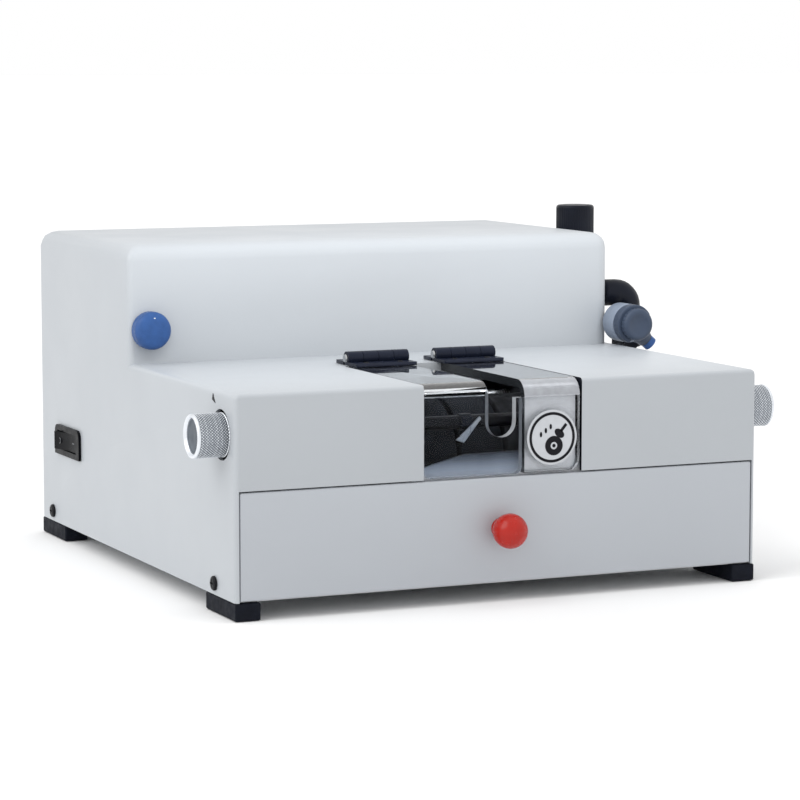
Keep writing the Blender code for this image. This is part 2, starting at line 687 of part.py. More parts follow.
def work_rest(steel, aluminium, frame):
    pivot = (0.0, REST_Y, REST_Z)
    node("rest_bar", rod("X", -0.0107, WIDTH + 0.0107, (REST_Y, REST_Z), REST_R, 20), steel, frame, pivot)
    node("rest_finger", rest_finger(), aluminium, frame, pivot)
    node("rest_knob_left", grip_knob(0.0, 1), aluminium, frame, pivot)
    node("rest_knob_right", grip_knob(WIDTH, -1), aluminium, frame, pivot)


def power_switch(look, frame):
    """A rocker switch in the left wall: bezel and body in one, and the rocker in its pocket."""
    bezel = facing_side(SWITCH, SWITCH_BEZEL, -GAP - 0.0016, -GAP)
    softened(bezel, 0.005, 4, lambda middle, way: abs(way.x) > 0.9 and middle.z > SWITCH_Z)
    joined(bezel, facing_side(SWITCH, SWITCH_BODY, -0.0010, 0.018))
    pocket = facing_side(SWITCH, SWITCH_POCKET, -0.010, 0.014)
    node("switch_housing", cut(bezel, pocket), look, frame)
    outline = [(-0.0030, -0.0172), (-0.0008, 0.0), (-0.0030, 0.0172),
               (0.0040, 0.0168), (0.0085, 0.0), (0.0040, -0.0168)]
    hub = 0.0040
    tilted = []
    for x, y in outline:
        tilted.append((hub + (x - hub) * math.cos(ROCKER_TILT) - y * math.sin(ROCKER_TILT),
                       SWITCH_Y + (x - hub) * math.sin(ROCKER_TILT) + y * math.cos(ROCKER_TILT)))
    half = SWITCH_POCKET[1] - 0.0004
    rocker = extruded(tilted, "Z", SWITCH_Z - half, SWITCH_Z + half)
    node("switch_rocker", rocker, look, frame, (hub, SWITCH_Y, SWITCH_Z))


def flow_control(blue, brass, frame):
    """The blue knob on the housing's front and the brass valve behind the sheet that it turns."""
    axis = (FLOW[0], FLOW[2])
    face = HUMP_FRONT - GAP
    stem = 0.0030
    profile = [(face - 0.0115, 0.0), (face - 0.0112, 0.0070), (face - 0.0098, 0.0100),
               (face - 0.0075, 0.0115), (face - 0.0045, FLOW_R), (face, FLOW_R - 0.0003),
               (face, stem), (face + 0.0075, stem), (face + 0.0075, 0.0)]
    node("flow_knob", turned(profile, "Y", axis, 28), blue, frame, FLOW)
    back = face + 0.0031
    bore = stem + 0.0004
    body = 0.0080
    tail = 0.0055
    profile = [(back + 0.0060, 0.0), (back + 0.0060, bore), (back, bore), (back, body), (back + 0.010, body),
               (back + 0.012, tail), (back + 0.022, tail), (back + 0.022, 0.0)]
    node("flow_valve", turned(profile, "Y", axis, 20), brass, frame)


def drip_manifold(steel, frame):
    """The water pipe behind the wheels, with a nozzle for each of them."""
    pipe = rod("X", RECESS_LEFT - 0.0020, RECESS_RIGHT + 0.0020, MANIFOLD, MANIFOLD_R, 16)
    for index in range(3):
        middle = FIRST_WHEEL + WHEEL_WIDTH / 2 + index * WHEEL_PITCH
        joined(pipe, rod("Y", 0.0900, 0.1035, (middle, MANIFOLD[1]), 0.0016, 10))
    node("drip_manifold", pipe, steel, frame)


def reservoir(clear, black, steel, frame):
    """The bottle behind the deck's right end, its screw cap and the two clips that hold it to the wall."""
    top = BOTTLE_TOP
    base = BOTTLE_BASE
    radius = BOTTLE_R
    wall = BOTTLE_WALL
    neck = NECK_R
    profile = [(base, 0.0), (base, radius - 0.002), (base + 0.002, radius), (top - 0.008, radius),
               (top - 0.003, neck), (top + 0.012, neck), (top + 0.012, neck - wall),
               (top - 0.004, neck - wall), (top - 0.009, radius - wall),
               (base + 0.003, radius - wall), (base + wall, radius - 0.003), (base + wall, 0.0)]
    node("reservoir_bottle", turned(profile, "Z", BOTTLE, 24), clear, frame)
    low = top + 0.003
    inside = neck + 0.0005
    profile = [(CAP_TOP - 0.0030, 0.0), (CAP_TOP - 0.0030, inside), (low, inside), (low, CAP_R),
               (CAP_TOP - 0.0012, CAP_R), (CAP_TOP, CAP_R - 0.00125), (CAP_TOP, 0.0)]
    node("reservoir_cap", turned(profile, "Z", BOTTLE, 28), black, frame, (*BOTTLE, low))
    for name, wall_x, level in (("lower", WIDTH, 0.078), ("upper", HUMP_RIGHT, 0.158)):
        band = rod("Z", level, level + CLIP_WIDTH, BOTTLE, radius + 0.0017, 28)
        arm = box((wall_x + GAP, BOTTLE[1] - 0.010, level + 0.0001),
                  (BOTTLE[0] - 0.006, BOTTLE[1] + 0.010, level + CLIP_WIDTH - 0.0001))
        joined(band, arm)
        cut(band, rod("Z", level - 0.01, level + 0.02, BOTTLE, radius + GAP, 28))
        node(f"reservoir_clip_{name}", band, steel, frame)


def swept(points, radii, sides):
    """A round bar along a list of points, one radius for each, with flat ends. Its rings turn as little
    as they can from one point to the next."""
    bm = bmesh.new()
    rings = []
    points = [Vector(point) for point in points]
    way = (points[1] - points[0]).normalized()
    across = way.orthogonal().normalized()
    for index, (point, radius) in enumerate(zip(points, radii)):
        before = points[max(index - 1, 0)]
        after = points[min(index + 1, len(points) - 1)]
        tangent = (after - before).normalized()
        across = way.rotation_difference(tangent) @ across
        way = tangent
        other = way.cross(across)
        ring = []
        for step in range(sides):
            angle = math.tau * step / sides
            ring.append(bm.verts.new(point + radius * (math.cos(angle) * across + math.sin(angle) * other)))
        rings.append(ring)
    bm.faces.new(rings[0])
    bm.faces.new(rings[-1])
    for near, far in zip(rings, rings[1:]):
        for step in range(sides):
            after = (step + 1) % sides
            bm.faces.new((near[step], near[after], far[after], far[step]))
    return object_of(bm)


def inlet_elbow(look, frame):
    """The black elbow: out of the housing's right wall, then straight down into the regulator's socket."""
    start = HUMP_RIGHT + 0.0015
    x, y, z = ELBOW
    route = [(start, y, z), (start + 0.0008, y, z), (start + 0.0022, y, z)]
    route += [(a, y, b) for a, b in arc((x - ELBOW_BEND, z - ELBOW_BEND), ELBOW_BEND, 90, 0, 8)]
    route += [(x, y, ELBOW_END)]
    radii = [ELBOW_R - 0.0022, ELBOW_R - 0.0008] + [ELBOW_R] * (len(route) - 2)
    elbow = swept(route, radii, 20)
    joined(elbow, rod("X", HUMP_RIGHT - 0.012, start + 0.004, (y, z), STUB_R, 16))
    node("inlet_elbow", elbow, look, frame)


def regulator(grey, slate, blue, frame):
    """The pressure regulator in front of the housing: a barrel with a dial on its front face, a tapered
    spout that ends in the hose's collet, and a socket behind for the elbow."""
    front = REGULATOR_FRONT
    rear = HUMP_FRONT + 0.0005
    profile = [(front, 0.0), (front, REGULATOR_R - 0.0010), (front + 0.0010, REGULATOR_R),
               (rear - 0.0030, REGULATOR_R), (rear, REGULATOR_R - 0.0030), (rear, 0.0)]
    barrel = turned(profile, "Y", REGULATOR, 28)
    start = Vector(SPOUT)
    tip = start + SPOUT_WAY * SPOUT_LENGTH
    spout = swept([start, tip], [SPOUT_R, COLLET_R + 0.0004], 20)
    neck = rod("Y", rear - 0.004, ELBOW[1], (ELBOW[0] - 0.0065, ELBOW_END - 0.0062), STUB_R, 16)
    socket = rod("Z", ELBOW_END - 0.0110, ELBOW_END - GAP, ELBOW[:2], ELBOW_R + 0.0010, 24)
    node("regulator_body", joined(barrel, spout, neck, socket), grey, frame)
    face = front - GAP
    profile = [(face - 0.0055, 0.0), (face - 0.0055, DIAL_R - 0.0015), (face - 0.0040, DIAL_R),
               (face, DIAL_R), (face, 0.0)]
    dial = turned(profile, "Y", REGULATOR, 28)
    node("regulator_knob", dial, slate, frame, (REGULATOR[0], face, REGULATOR[1]))
    ends = [tip + SPOUT_WAY * GAP, tip + SPOUT_WAY * (GAP + 0.0040)]
    node("supply_collet", swept(ends, [COLLET_R, COLLET_R], 16), blue, frame)


def stand_on_origin(frame):
    """Moves the frame so that the feet stand at z = 0 and the machine's box is centred over the origin."""
    bpy.context.view_layer.update()
    low = Vector((1.0, 1.0, 1.0))
    high = Vector((-1.0, -1.0, -1.0))
    for obj in frame.children:
        for corner in obj.bound_box:
            place = obj.matrix_world @ Vector(corner)
            low = Vector(map(min, low, place))
            high = Vector(map(max, high, place))
    frame.location = (-(low.x + high.x) / 2, -(low.y + high.y) / 2, -low.z)


def main():
    clear_scene()
    frame = bpy.data.objects.new("casing_frame", None)
    bpy.context.collection.objects.link(frame)
    white = material("white_paint", (0.66, 0.70, 0.73), 0.35)
    dark_liner = material("dark_liner", (0.035, 0.040, 0.048), 0.45)
    zinc = material("zinc_sheet", (0.55, 0.56, 0.57), 0.4, 1.0)
    steel = material("bright_steel", (0.60, 0.61, 0.62), 0.25, 1.0)
    aluminium = material("aluminium", (0.62, 0.65, 0.68), 0.35, 1.0)
    brass = material("brass", (0.60, 0.45, 0.20), 0.3, 1.0)
    black = material("black_plastic", (0.018, 0.020, 0.027), 0.4)
    rubber = material("black_rubber", (0.020, 0.022, 0.028), 0.75)
    tray_plastic = material("tray_plastic", (0.40, 0.42, 0.44), 0.5)
    red = material("red_plastic", (0.60, 0.06, 0.04), 0.2)
    blue = material("blue_plastic", (0.05, 0.12, 0.32), 0.35)
    acrylic = material("clear_acrylic", (0.85, 0.90, 0.93), 0.05, alpha=0.3)
    label = material("label", (0.75, 0.76, 0.78), 0.5)
    abrasive = material("resin_abrasive", (0.045, 0.040, 0.038), 0.8)
    motor_look = material("motor_enamel", (0.06, 0.065, 0.07), 0.5)
    grey = material("grey_plastic", (0.30, 0.34, 0.42), 0.4)
    slate = material("slate_plastic", (0.08, 0.11, 0.15), 0.4)
    bottle = material("frosted_bottle", (0.70, 0.75, 0.78), 0.4, alpha=0.6)
    main_cover(white, frame)
    base_plate(zinc, frame)
    feet(rubber, frame)
    cover_screws(black, frame)
    back_panel(white, black, frame)
    drawer(white, tray_plastic, red, frame)
    splash_liner(dark_liner, frame)
    guards(acrylic, white, label, frame)
    hinges(black, steel, frame)
    spindle(steel, abrasive, aluminium, frame)
    bearings(aluminium, steel, frame)
    drive(aluminium, rubber, steel, motor_look, frame)
    work_rest(steel, aluminium, frame)
    power_switch(black, frame)
    flow_control(blue, brass, frame)
    drip_manifold(steel, frame)
    reservoir(bottle, black, steel, frame)
    inlet_elbow(black, frame)
    regulator(grey, slate, blue, frame)
    stand_on_origin(frame)


main()
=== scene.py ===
"""Looks of the bench cabbing machine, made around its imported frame. Metres, in the frame's own axes:
+Z up, +X to the operator's right, -Y towards the operator."""

import math

import bmesh
import bpy
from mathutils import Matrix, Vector


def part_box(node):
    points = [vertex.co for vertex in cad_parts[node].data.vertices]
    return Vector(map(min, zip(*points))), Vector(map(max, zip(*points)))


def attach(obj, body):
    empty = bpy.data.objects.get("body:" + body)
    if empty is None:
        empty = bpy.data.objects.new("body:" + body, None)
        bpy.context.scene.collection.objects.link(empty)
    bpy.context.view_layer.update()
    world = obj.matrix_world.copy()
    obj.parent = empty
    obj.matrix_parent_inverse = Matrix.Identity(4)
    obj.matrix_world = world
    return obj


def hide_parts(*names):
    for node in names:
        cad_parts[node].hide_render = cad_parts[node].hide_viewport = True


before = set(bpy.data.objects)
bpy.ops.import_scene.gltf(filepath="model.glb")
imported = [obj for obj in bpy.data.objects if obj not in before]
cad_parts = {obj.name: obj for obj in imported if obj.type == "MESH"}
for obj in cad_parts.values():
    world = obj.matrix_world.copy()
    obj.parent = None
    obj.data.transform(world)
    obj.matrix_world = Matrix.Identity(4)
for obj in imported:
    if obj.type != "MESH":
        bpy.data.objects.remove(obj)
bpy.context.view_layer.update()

# Which of a point's values lie along an axis, and which two across it
ORDER = {"X": (0, 1, 2), "Y": (1, 0, 2), "Z": (2, 0, 1)}
SIDES = ("left", "right")

# The casing, measured from its left wall, front and bottom edge
CASING_LOW, CASING_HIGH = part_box("main_cover")
DECK = 0.1195
HUMP_FRONT = 0.182
RECESS_LOW = (0.1170, -0.001, 0.050)
RECESS_HIGH = (0.2208, 0.1186, 0.1192)
LIP_FOOT = 0.0640
LIP_TOP = 0.0785

# Gaps and small steps
GAP = 0.0003
WELD = 0.000002
PRINT = 0.00025
NOISE_LOW = 0.3
NOISE_HIGH = 0.7
BEVEL_SEGMENTS = 3

# Camera, light and floor
CAMERA_PLACE = (-0.7800, -1.7478, 0.3206)
CAMERA_PITCH = 83.45
CAMERA_TURN = -24.13
CAMERA_LENS = 135.65
SENSOR = 36.0
SOFTBOX_POWER = 1.0
SOFTBOX_SPREAD = 50
SOFTBOX_WAY = (0.74, 0.05, -0.67)
STRIP_POWER = 0.72
STRIP_SIZE = (0.55, 0.04)
STRIP_PLACE = (0.17, -0.005, 0.31)
STRIP_WAY = (0.0, 0.97, -0.24)
FLOOR_REACH = 40
FLOOR_DROP = 0.0004

# Guards and the lip of the liner behind them
NOTCH_FROM = 0.0400
NOTCH_UNDER = 0.009
GUARD_SHEET = 0.0051
PANEL_DROP = 0.004
LIP_DEPTH = 0.0024
LIP_DROP = 0.030

# Work rest
KNURL_TEETH = 46
KNURL_PITCH = 0.0018
KNURL_DEPTH = 0.00065
KNURL_START = 0.0016
KNURL_END = 0.0045
KNURL_STEPS = 64
GROOVE_SHARE = 0.55
COLLAR_INSET = 0.004
COLLAR_WIDTH = 0.0080
COLLAR_R = 0.0050
COLLAR_BORE = 0.0043
COLLAR_EDGE = 0.0004

# Knobs and the reservoir's cap
BALL_STEPS = 32
BALL_END = 30
BALL_FLANGE_R = 0.0062
BALL_NECK_R = 0.0050
# (distance from the front, share of the radius) pairs give the crown of a knob and the face of the dial.
FLOW_CROWN = ((0.0, 0.0), (0.00005, 0.30), (0.0003, 0.55), (0.0009, 0.76), (0.0018, 0.88), (0.0030, 0.955),
              (0.0045, 0.985))
FLOW_RIBS = 36
FLOW_RIB_DEPTH = 0.00022
CAP_BORE = 0.0099
CAP_RIBS = 48
CAP_RIB_DEPTH = 0.00028
DIAL_FACE = ((0.0006, 0.0), (0.0006, 0.55), (0.0, 0.62), (0.0, 0.80), (0.0003, 0.87), (0.0011, 0.95),
             (0.0018, 0.975))
DIAL_FLUTES = 24
DIAL_FLUTE_DEPTH = 0.0004

# Screws as (radius, height), the parts of their heads as shares of those, and their places
COVER_SCREW = (0.0043, 0.0019)
BACK_SCREW = (0.0034, 0.0016)
HINGE_SCREW = (0.0019, 0.0006)
HEAD_EDGE = 0.35
HEAD_CROWN = 0.42
CROSS_ARM = 0.55
CROSS_HALF = 0.11
CROSS_FLOOR = 0.45
BACK_SCREW_INSET = 0.007
HINGE_SCREW_INSET = (0.0090, 0.0062)
LEAF = 0.0020

# Power inlet and switch
INLET_DEPTH = 0.0160
CONTACTS = (("left", -0.0070, -0.0018), ("right", 0.0070, -0.0018), ("middle", 0.0, 0.0022))
ROCKER_HUB = (0.0040, 0.3025, 0.0)
ROCKER_TILT = math.radians(7)
ROCKER_RISE = 0.0008
ROCKER_SLOPE = 0.0022 / 0.0172
ROCKER_BAR = (-0.0122, -0.0082)
ROCKER_RING = (0.0086, 0.0126)
MARK_LIFT = 0.00016
MARK_SINK = 0.00004

# Regulator and elbow
BARREL_R = 0.0127
BARREL_LENGTH = 0.0245
HEAD_LENGTH = 0.0075
SPOUT_WAY = Vector((0.765, 0.0, -0.644)).normalized()
SPOUT_REACH = 0.0182
SPOUT_TIP_R = 0.0056
SPOUT_CUT = 0.0168
SPOUT_BACK = 0.0110
ELBOW_R = 0.0088
NECK_R = 0.0055
SOCKET_R = 0.0098

# Grinding wheels
WHEEL_BORE = 0.0063
WHEEL_HUB_R = 0.014
WHEEL_DISH = 0.002
WHEEL_WEAR = 0.00012


def at(x, y, z):
    """A place given from the casing's left wall, front and bottom edge."""
    return CASING_LOW + Vector((x, y, z))


def middle(name):
    low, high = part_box(name)
    return (low + high) / 2


def round_node(name, axis):
    """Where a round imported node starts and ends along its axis, its centre across it and its radius."""
    low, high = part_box(name)
    along, first, second = ORDER[axis]
    centre = ((low[first] + high[first]) / 2, (low[second] + high[second]) / 2)
    return low[along], high[along], centre, (high[second] - low[second]) / 2


# ---------------------------------------------------------------- materials

class Look:
    """A material being put together: a Principled shader and the nodes that feed it."""

    def __init__(self, name, colour, roughness, metallic=0.0):
        self.material = bpy.data.materials.new(name)
        self.material.use_nodes = True
        self.nodes = self.material.node_tree.nodes
        self.links = self.material.node_tree.links
        self.shader = self.nodes["Principled BSDF"]
        self.colour = colour
        self.roughness = roughness
        self.set("Base Color", (*colour, 1.0))
        self.set("Roughness", roughness)
        self.set("Metallic", metallic)
        self.place = self.nodes.new("ShaderNodeTexCoord").outputs["Object"]

    def set(self, socket, value):
        self.shader.inputs[socket].default_value = value
        return self

    def stretched(self, stretch):
        """The object's own coordinates, scaled along each axis."""
        mapping = self.nodes.new("ShaderNodeMapping")
        mapping.inputs["Scale"].default_value = stretch
        self.links.new(self.place, mapping.inputs["Vector"])
        return mapping.outputs["Vector"]

    def noise(self, size, detail=3.0, stretch=(1.0, 1.0, 1.0)):
        """Noise whose blotches are about size metres across."""
        texture = self.nodes.new("ShaderNodeTexNoise")
        texture.inputs["Scale"].default_value = 1.0 / size
        texture.inputs["Detail"].default_value = detail
        self.links.new(self.stretched(stretch), texture.inputs["Vector"])
        return texture.outputs["Fac"]

    def grains(self, size, stretch=(1.0, 1.0, 1.0)):
        """Cell distance, for grit and pebbled mouldings."""
        texture = self.nodes.new("ShaderNodeTexVoronoi")
        texture.inputs["Scale"].default_value = 1.0 / size
        self.links.new(self.stretched(stretch), texture.inputs["Vector"])
        return texture.outputs["Distance"]

    def ramp(self, source, stops):
        """Colours that follow a source, from (position, colour) pairs."""
        ramp = self.nodes.new("ShaderNodeValToRGB")
        ramp.color_ramp.elements[0].position = stops[0][0]
        ramp.color_ramp.elements[0].color = (*stops[0][1], 1.0)
        ramp.color_ramp.elements[1].position = stops[-1][0]
        ramp.color_ramp.elements[1].color = (*stops[-1][1], 1.0)
        for position, colour in stops[1:-1]:
            ramp.color_ramp.elements.new(position).color = (*colour, 1.0)
        self.links.new(source, ramp.inputs["Fac"])
        return ramp.outputs["Color"]

    def mottle(self, size, spread, detail=3.0, stretch=(1.0, 1.0, 1.0)):
        """Varies the colour by a share of itself over blotches of a size."""
        dark = tuple(c * (1.0 - spread) for c in self.colour)
        light = tuple(min(c * (1.0 + spread), 1.0) for c in self.colour)
        colour = self.ramp(self.noise(size, detail, stretch), [(NOISE_LOW, dark), (NOISE_HIGH, light)])
        self.links.new(colour, self.shader.inputs["Base Color"])
        return self

    def vary_roughness(self, size, spread, detail=3.0, stretch=(1.0, 1.0, 1.0)):
        """Varies the roughness by up to the spread over blotches of a size."""
        span = self.nodes.new("ShaderNodeMapRange")
        span.inputs["From Min"].default_value = NOISE_LOW
        span.inputs["From Max"].default_value = NOISE_HIGH
        span.inputs["To Min"].default_value = max(self.roughness - spread, 0.02)
        span.inputs["To Max"].default_value = min(self.roughness + spread, 1.0)
        self.links.new(self.noise(size, detail, stretch), span.inputs["Value"])
        self.links.new(span.outputs["Result"], self.shader.inputs["Roughness"])
        return self

    def bump(self, source, height, strength=1.0):
        """Raises the surface by the source, height metres at most, over what is already raised."""
        bump = self.nodes.new("ShaderNodeBump")
        bump.inputs["Distance"].default_value = height
        bump.inputs["Strength"].default_value = strength
        self.links.new(source, bump.inputs["Height"])
        before = self.shader.inputs["Normal"].links
        if before:
            self.links.new(before[0].from_socket, bump.inputs["Normal"])
        self.links.new(bump.outputs["Normal"], self.shader.inputs["Normal"])
        return self


def white_paint():
    look = Look("powder_coat_white", (0.428, 0.453, 0.480), 0.42)
    look.mottle(0.16, 0.018, 4.0)
    look.vary_roughness(0.05, 0.06)
    look.bump(look.noise(0.0011, 2.0), 0.00004, 0.55)
    look.bump(look.noise(0.045, 2.0), 0.0006, 0.05)
    return look.set("Coat Weight", 0.10).set("Coat Roughness", 0.30)


def drawer_paint():
    look = Look("powder_coat_drawer", (0.432, 0.456, 0.490), 0.44)
    look.mottle(0.13, 0.022, 4.0)
    look.vary_roughness(0.04, 0.06)
    look.bump(look.noise(0.0011, 2.0), 0.00004, 0.55)
    return look.set("Coat Weight", 0.08).set("Coat Roughness", 0.32)


def zinc():
    look = Look("zinc_plate", (0.50, 0.52, 0.54), 0.38, 1.0)
    look.mottle(0.012, 0.12, 4.0)
    look.vary_roughness(0.02, 0.10)
    return look.bump(look.noise(0.0008, 2.0, (1.0, 8.0, 8.0)), 0.00003, 0.4)


def brushed(name, colour, roughness, along):
    """Turned or ground metal: fine scratches that run across the given axis."""
    stretch = {"X": (1.0, 0.06, 0.06), "Y": (0.06, 1.0, 0.06), "Z": (0.06, 0.06, 1.0)}[along]
    look = Look(name, colour, roughness, 1.0)
    look.mottle(0.004, 0.05, 3.0)
    look.vary_roughness(0.0006, 0.07, 2.0, stretch)
    return look.bump(look.noise(0.0005, 2.0, stretch), 0.00002, 0.5)


def black_plastic(name="black_moulding", colour=(0.0050, 0.0065, 0.0120), roughness=0.38):
    look = Look(name, colour, roughness)
    look.mottle(0.010, 0.14)
    look.vary_roughness(0.006, 0.07)
    look.bump(look.noise(0.0007, 2.0), 0.00004, 0.5)
    return look.set("Specular IOR Level", 0.16)


def rubber(name="black_rubber", roughness=0.62):
    look = Look(name, (0.0055, 0.0070, 0.0125), roughness)
    look.mottle(0.006, 0.22)
    look.vary_roughness(0.005, 0.10)
    look.bump(look.grains(0.0009), 0.00008, 0.6)
    return look.set("Specular IOR Level", 0.12)


def gloss_red():
    look = Look("red_ball_plastic", (0.41, 0.012, 0.005), 0.24)
    look.mottle(0.008, 0.06)
    look.vary_roughness(0.004, 0.05)
    look.bump(look.noise(0.006, 2.0), 0.00010, 0.15)
    return look.set("Specular IOR Level", 0.3).set("Coat Weight", 0.15).set("Coat Roughness", 0.08)


def blue_plastic():
    look = Look("blue_moulding", (0.026, 0.080, 0.240), 0.46)
    look.mottle(0.005, 0.10)
    look.vary_roughness(0.004, 0.08)
    look.bump(look.noise(0.0007, 2.0), 0.00005, 0.5)
    return look.set("Specular IOR Level", 0.3)


def grey_plastic(name, colour):
    look = Look(name, colour, 0.45)
    look.mottle(0.008, 0.06)
    look.vary_roughness(0.005, 0.08)
    look.bump(look.noise(0.0008, 2.0), 0.00005, 0.5)
    return look.set("Specular IOR Level", 0.3)


def clear_acrylic(name, tint, index, coat):
    """Clear cast sheet: a tint, the index that its shine follows and how much polish lies on it."""
    look = Look(name, tint, 0.03)
    look.vary_roughness(0.030, 0.015)
    look.bump(look.noise(0.060, 2.0), 0.0004, 0.04)
    look.set("Transmission Weight", 1.0).set("IOR", index)
    return look.set("Coat Weight", coat).set("Coat IOR", 1.9).set("Coat Roughness", 0.02)


def acrylic_edge(name, colour, transmission):
    """Sawn and flame-polished edges of the guards and their bend, with light or shade painted into the
    colour: painted highlight where they gather the light, painted shade where, deep inside, they lose it,
    painted reflection on the bend.
    """
    look = Look(name, colour, 0.18)
    look.mottle(0.004, 0.08)
    look.bump(look.noise(0.0010, 2.0), 0.00005, 0.4)
    return look.set("Transmission Weight", transmission).set("IOR", 1.49).set("Specular IOR Level", 0.2)


def dark_liner():
    look = Look("splash_liner_coating", (0.008, 0.010, 0.013), 0.45)
    look.mottle(0.020, 0.25)
    look.vary_roughness(0.012, 0.12)
    look.bump(look.noise(0.0015, 3.0), 0.00006, 0.5)
    return look.set("Specular IOR Level", 0.15)


def splash_lip_painted_shade():
    """Bare sheet behind the guards' lower edge, its colour painted shade: light at its foot and near black at
    its top, following its height, broken up by noise.
    """
    look = Look("splash_lip_sheet_painted_shade", (0.30, 0.32, 0.36), 0.40)
    parts = look.nodes.new("ShaderNodeSeparateXYZ")
    share = look.nodes.new("ShaderNodeTexCoord").outputs["Generated"]
    look.links.new(share, parts.inputs["Vector"])
    low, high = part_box("splash_liner")
    height = look.nodes.new("ShaderNodeMapRange")
    height.inputs["From Min"].default_value = (at(0.0, 0.0, LIP_FOOT).z - low.z) / (high.z - low.z)
    height.inputs["From Max"].default_value = (at(0.0, 0.0, LIP_TOP).z - low.z) / (high.z - low.z)
    look.links.new(parts.outputs["Z"], height.inputs["Value"])
    uneven = look.nodes.new("ShaderNodeMath")
    uneven.operation = "MULTIPLY_ADD"
    uneven.inputs[1].default_value = 0.18
    look.links.new(look.noise(0.012, 4.0, (1.0, 1.0, 0.3)), uneven.inputs[0])
    look.links.new(height.outputs["Result"], uneven.inputs[2])
    # Painted shade: light at the lip's foot, darkening to near black at its top
    stops = [(0.10, (0.88, 0.90, 0.94)), (0.35, (0.56, 0.60, 0.66)), (0.75, (0.18, 0.20, 0.23)),
             (1.0, (0.045, 0.050, 0.060))]
    look.links.new(look.ramp(uneven.outputs["Value"], stops), look.shader.inputs["Base Color"])
    look.vary_roughness(0.008, 0.12, 3.0, (1.0, 1.0, 0.25))
    look.bump(look.noise(0.0010, 2.0), 0.00004, 0.5)
    return look.set("Specular IOR Level", 0.3)


def abrasive(name, colour, grit):
    """Resin-bonded diamond: embedded grit, darker where slurry has dried."""
    look = Look(name, colour, 0.75)
    look.mottle(0.006, 0.30, 5.0)
    look.bump(look.grains(grit), grit * 0.08, 0.5)
    look.bump(look.noise(0.010, 3.0), 0.0002, 0.3)
    return look.set("Specular IOR Level", 0.1)


def tray_plastic():
    look = Look("tray_moulding", (0.36, 0.38, 0.40), 0.5)
    look.mottle(0.030, 0.10, 5.0)
    look.vary_roughness(0.015, 0.12)
    return look.bump(look.noise(0.0012, 2.0), 0.00005, 0.5)


def motor_enamel():
    look = Look("motor_enamel", (0.055, 0.060, 0.066), 0.42)
    look.mottle(0.020, 0.12)
    look.vary_roughness(0.01, 0.08)
    return look.bump(look.noise(0.0020, 3.0), 0.00008, 0.5)


def polythene():
    look = Look("frosted_polythene", (0.78, 0.81, 0.83), 0.42)
    look.mottle(0.020, 0.03)
    look.vary_roughness(0.010, 0.06)
    look.bump(look.noise(0.0030, 2.0), 0.00010, 0.3)
    return look.set("Transmission Weight", 0.45).set("IOR", 1.5)


def label_paper(name, colour):
    look = Look(name, colour, 0.42)
    look.mottle(0.003, 0.03)
    return look.bump(look.noise(0.0006, 2.0), 0.00002, 0.4)


def studio_floor():
    look = Look("studio_floor", (0.93, 0.93, 0.93), 0.85)
    return look.mottle(0.9, 0.006).set("Specular IOR Level", 0.1)


# ---------------------------------------------------------------- shapes

def point_on(axis, along, first, second):
    """A point from its place along an axis and its two places across it."""
    point = [0.0, 0.0, 0.0]
    for index, value in zip(ORDER[axis], (along, first, second)):
        point[index] = value
    return point


def ring_round(bm, axis, along, radius, centre, sides, wave):
    """One turn of points about an axis, or a single point where there is no radius."""
    if radius == 0:
        return [bm.verts.new(point_on(axis, along, *centre))]
    ring = []
    for step in range(sides):
        turn = math.tau * step / sides
        reach = radius + (wave(turn, along, radius) if wave else 0.0)
        across = (centre[0] + reach * math.cos(turn), centre[1] + reach * math.sin(turn))
        ring.append(bm.verts.new(point_on(axis, along, *across)))
    return ring


def bridge(bm, near, far, sides):
    """Faces between two rings, either of which may be a single point."""
    for step in range(sides):
        after = (step + 1) % sides
        corners = [near[step % len(near)], near[after % len(near)]]
        corners += [far[after % len(far)], far[step % len(far)]]
        corners = list(dict.fromkeys(corners))
        if len(corners) > 2:
            bm.faces.new(corners)


def turned(profile, axis, centre, sides=64, bored=False, wave=None):
    """A solid turned about an axis from (along, radius) pairs. What wave(turn, along, radius) gives is added
    to each radius."""
    bm = bmesh.new()
    rings = [ring_round(bm, axis, along, radius, centre, sides, wave) for along, radius in profile]
    pairs = list(zip(rings, rings[1:]))
    if bored:
        pairs.append((rings[-1], rings[0]))
    else:
        for ring in (rings[0], rings[-1]):
            if len(ring) > 1:
                bm.faces.new(ring)
    for near, far in pairs:
        bridge(bm, near, far, sides)
    return bm


def ribs(count, depth, start, end, inside=0.0, power=1):
    """A wave for turned: grooves along the axis from start to end, on all that is further out than inside."""
    def wave(turn, along, radius):
        if along < start or along > end or radius < inside:
            return 0.0
        return -depth * (0.5 + 0.5 * math.cos(count * turn)) ** power
    return wave


def knurl(start, end):
    """A wave for turned: diamond knurling from start to end, made by two crossing sets of grooves."""
    def wave(turn, along, radius):
        if not start < along < end:
            return 0.0
        around = turn * KNURL_TEETH / math.tau
        slope = (along - start) / KNURL_PITCH
        first = abs(2.0 * ((around + slope) % 1.0) - 1.0)
        second = abs(2.0 * ((around - slope) % 1.0) - 1.0)
        return -KNURL_DEPTH * (1.0 - min(first, second))
    return wave


def prism(outline, axis, start, end):
    """An outline of pairs across an axis, carried from start to end along it."""
    bm = bmesh.new()
    rings = []
    for along in (start, end):
        rings.append([bm.verts.new(point_on(axis, along, a, b)) for a, b in outline])
    for ring in rings:
        bm.faces.new(ring)
    count = len(outline)
    for i in range(count):
        j = (i + 1) % count
        bm.faces.new((rings[0][i], rings[0][j], rings[1][j], rings[1][i]))
    return bm


def block(low, high):
    outline = [(low[0], low[1]), (high[0], low[1]), (high[0], high[1]), (low[0], high[1])]
    return prism(outline, "Z", low[2], high[2])


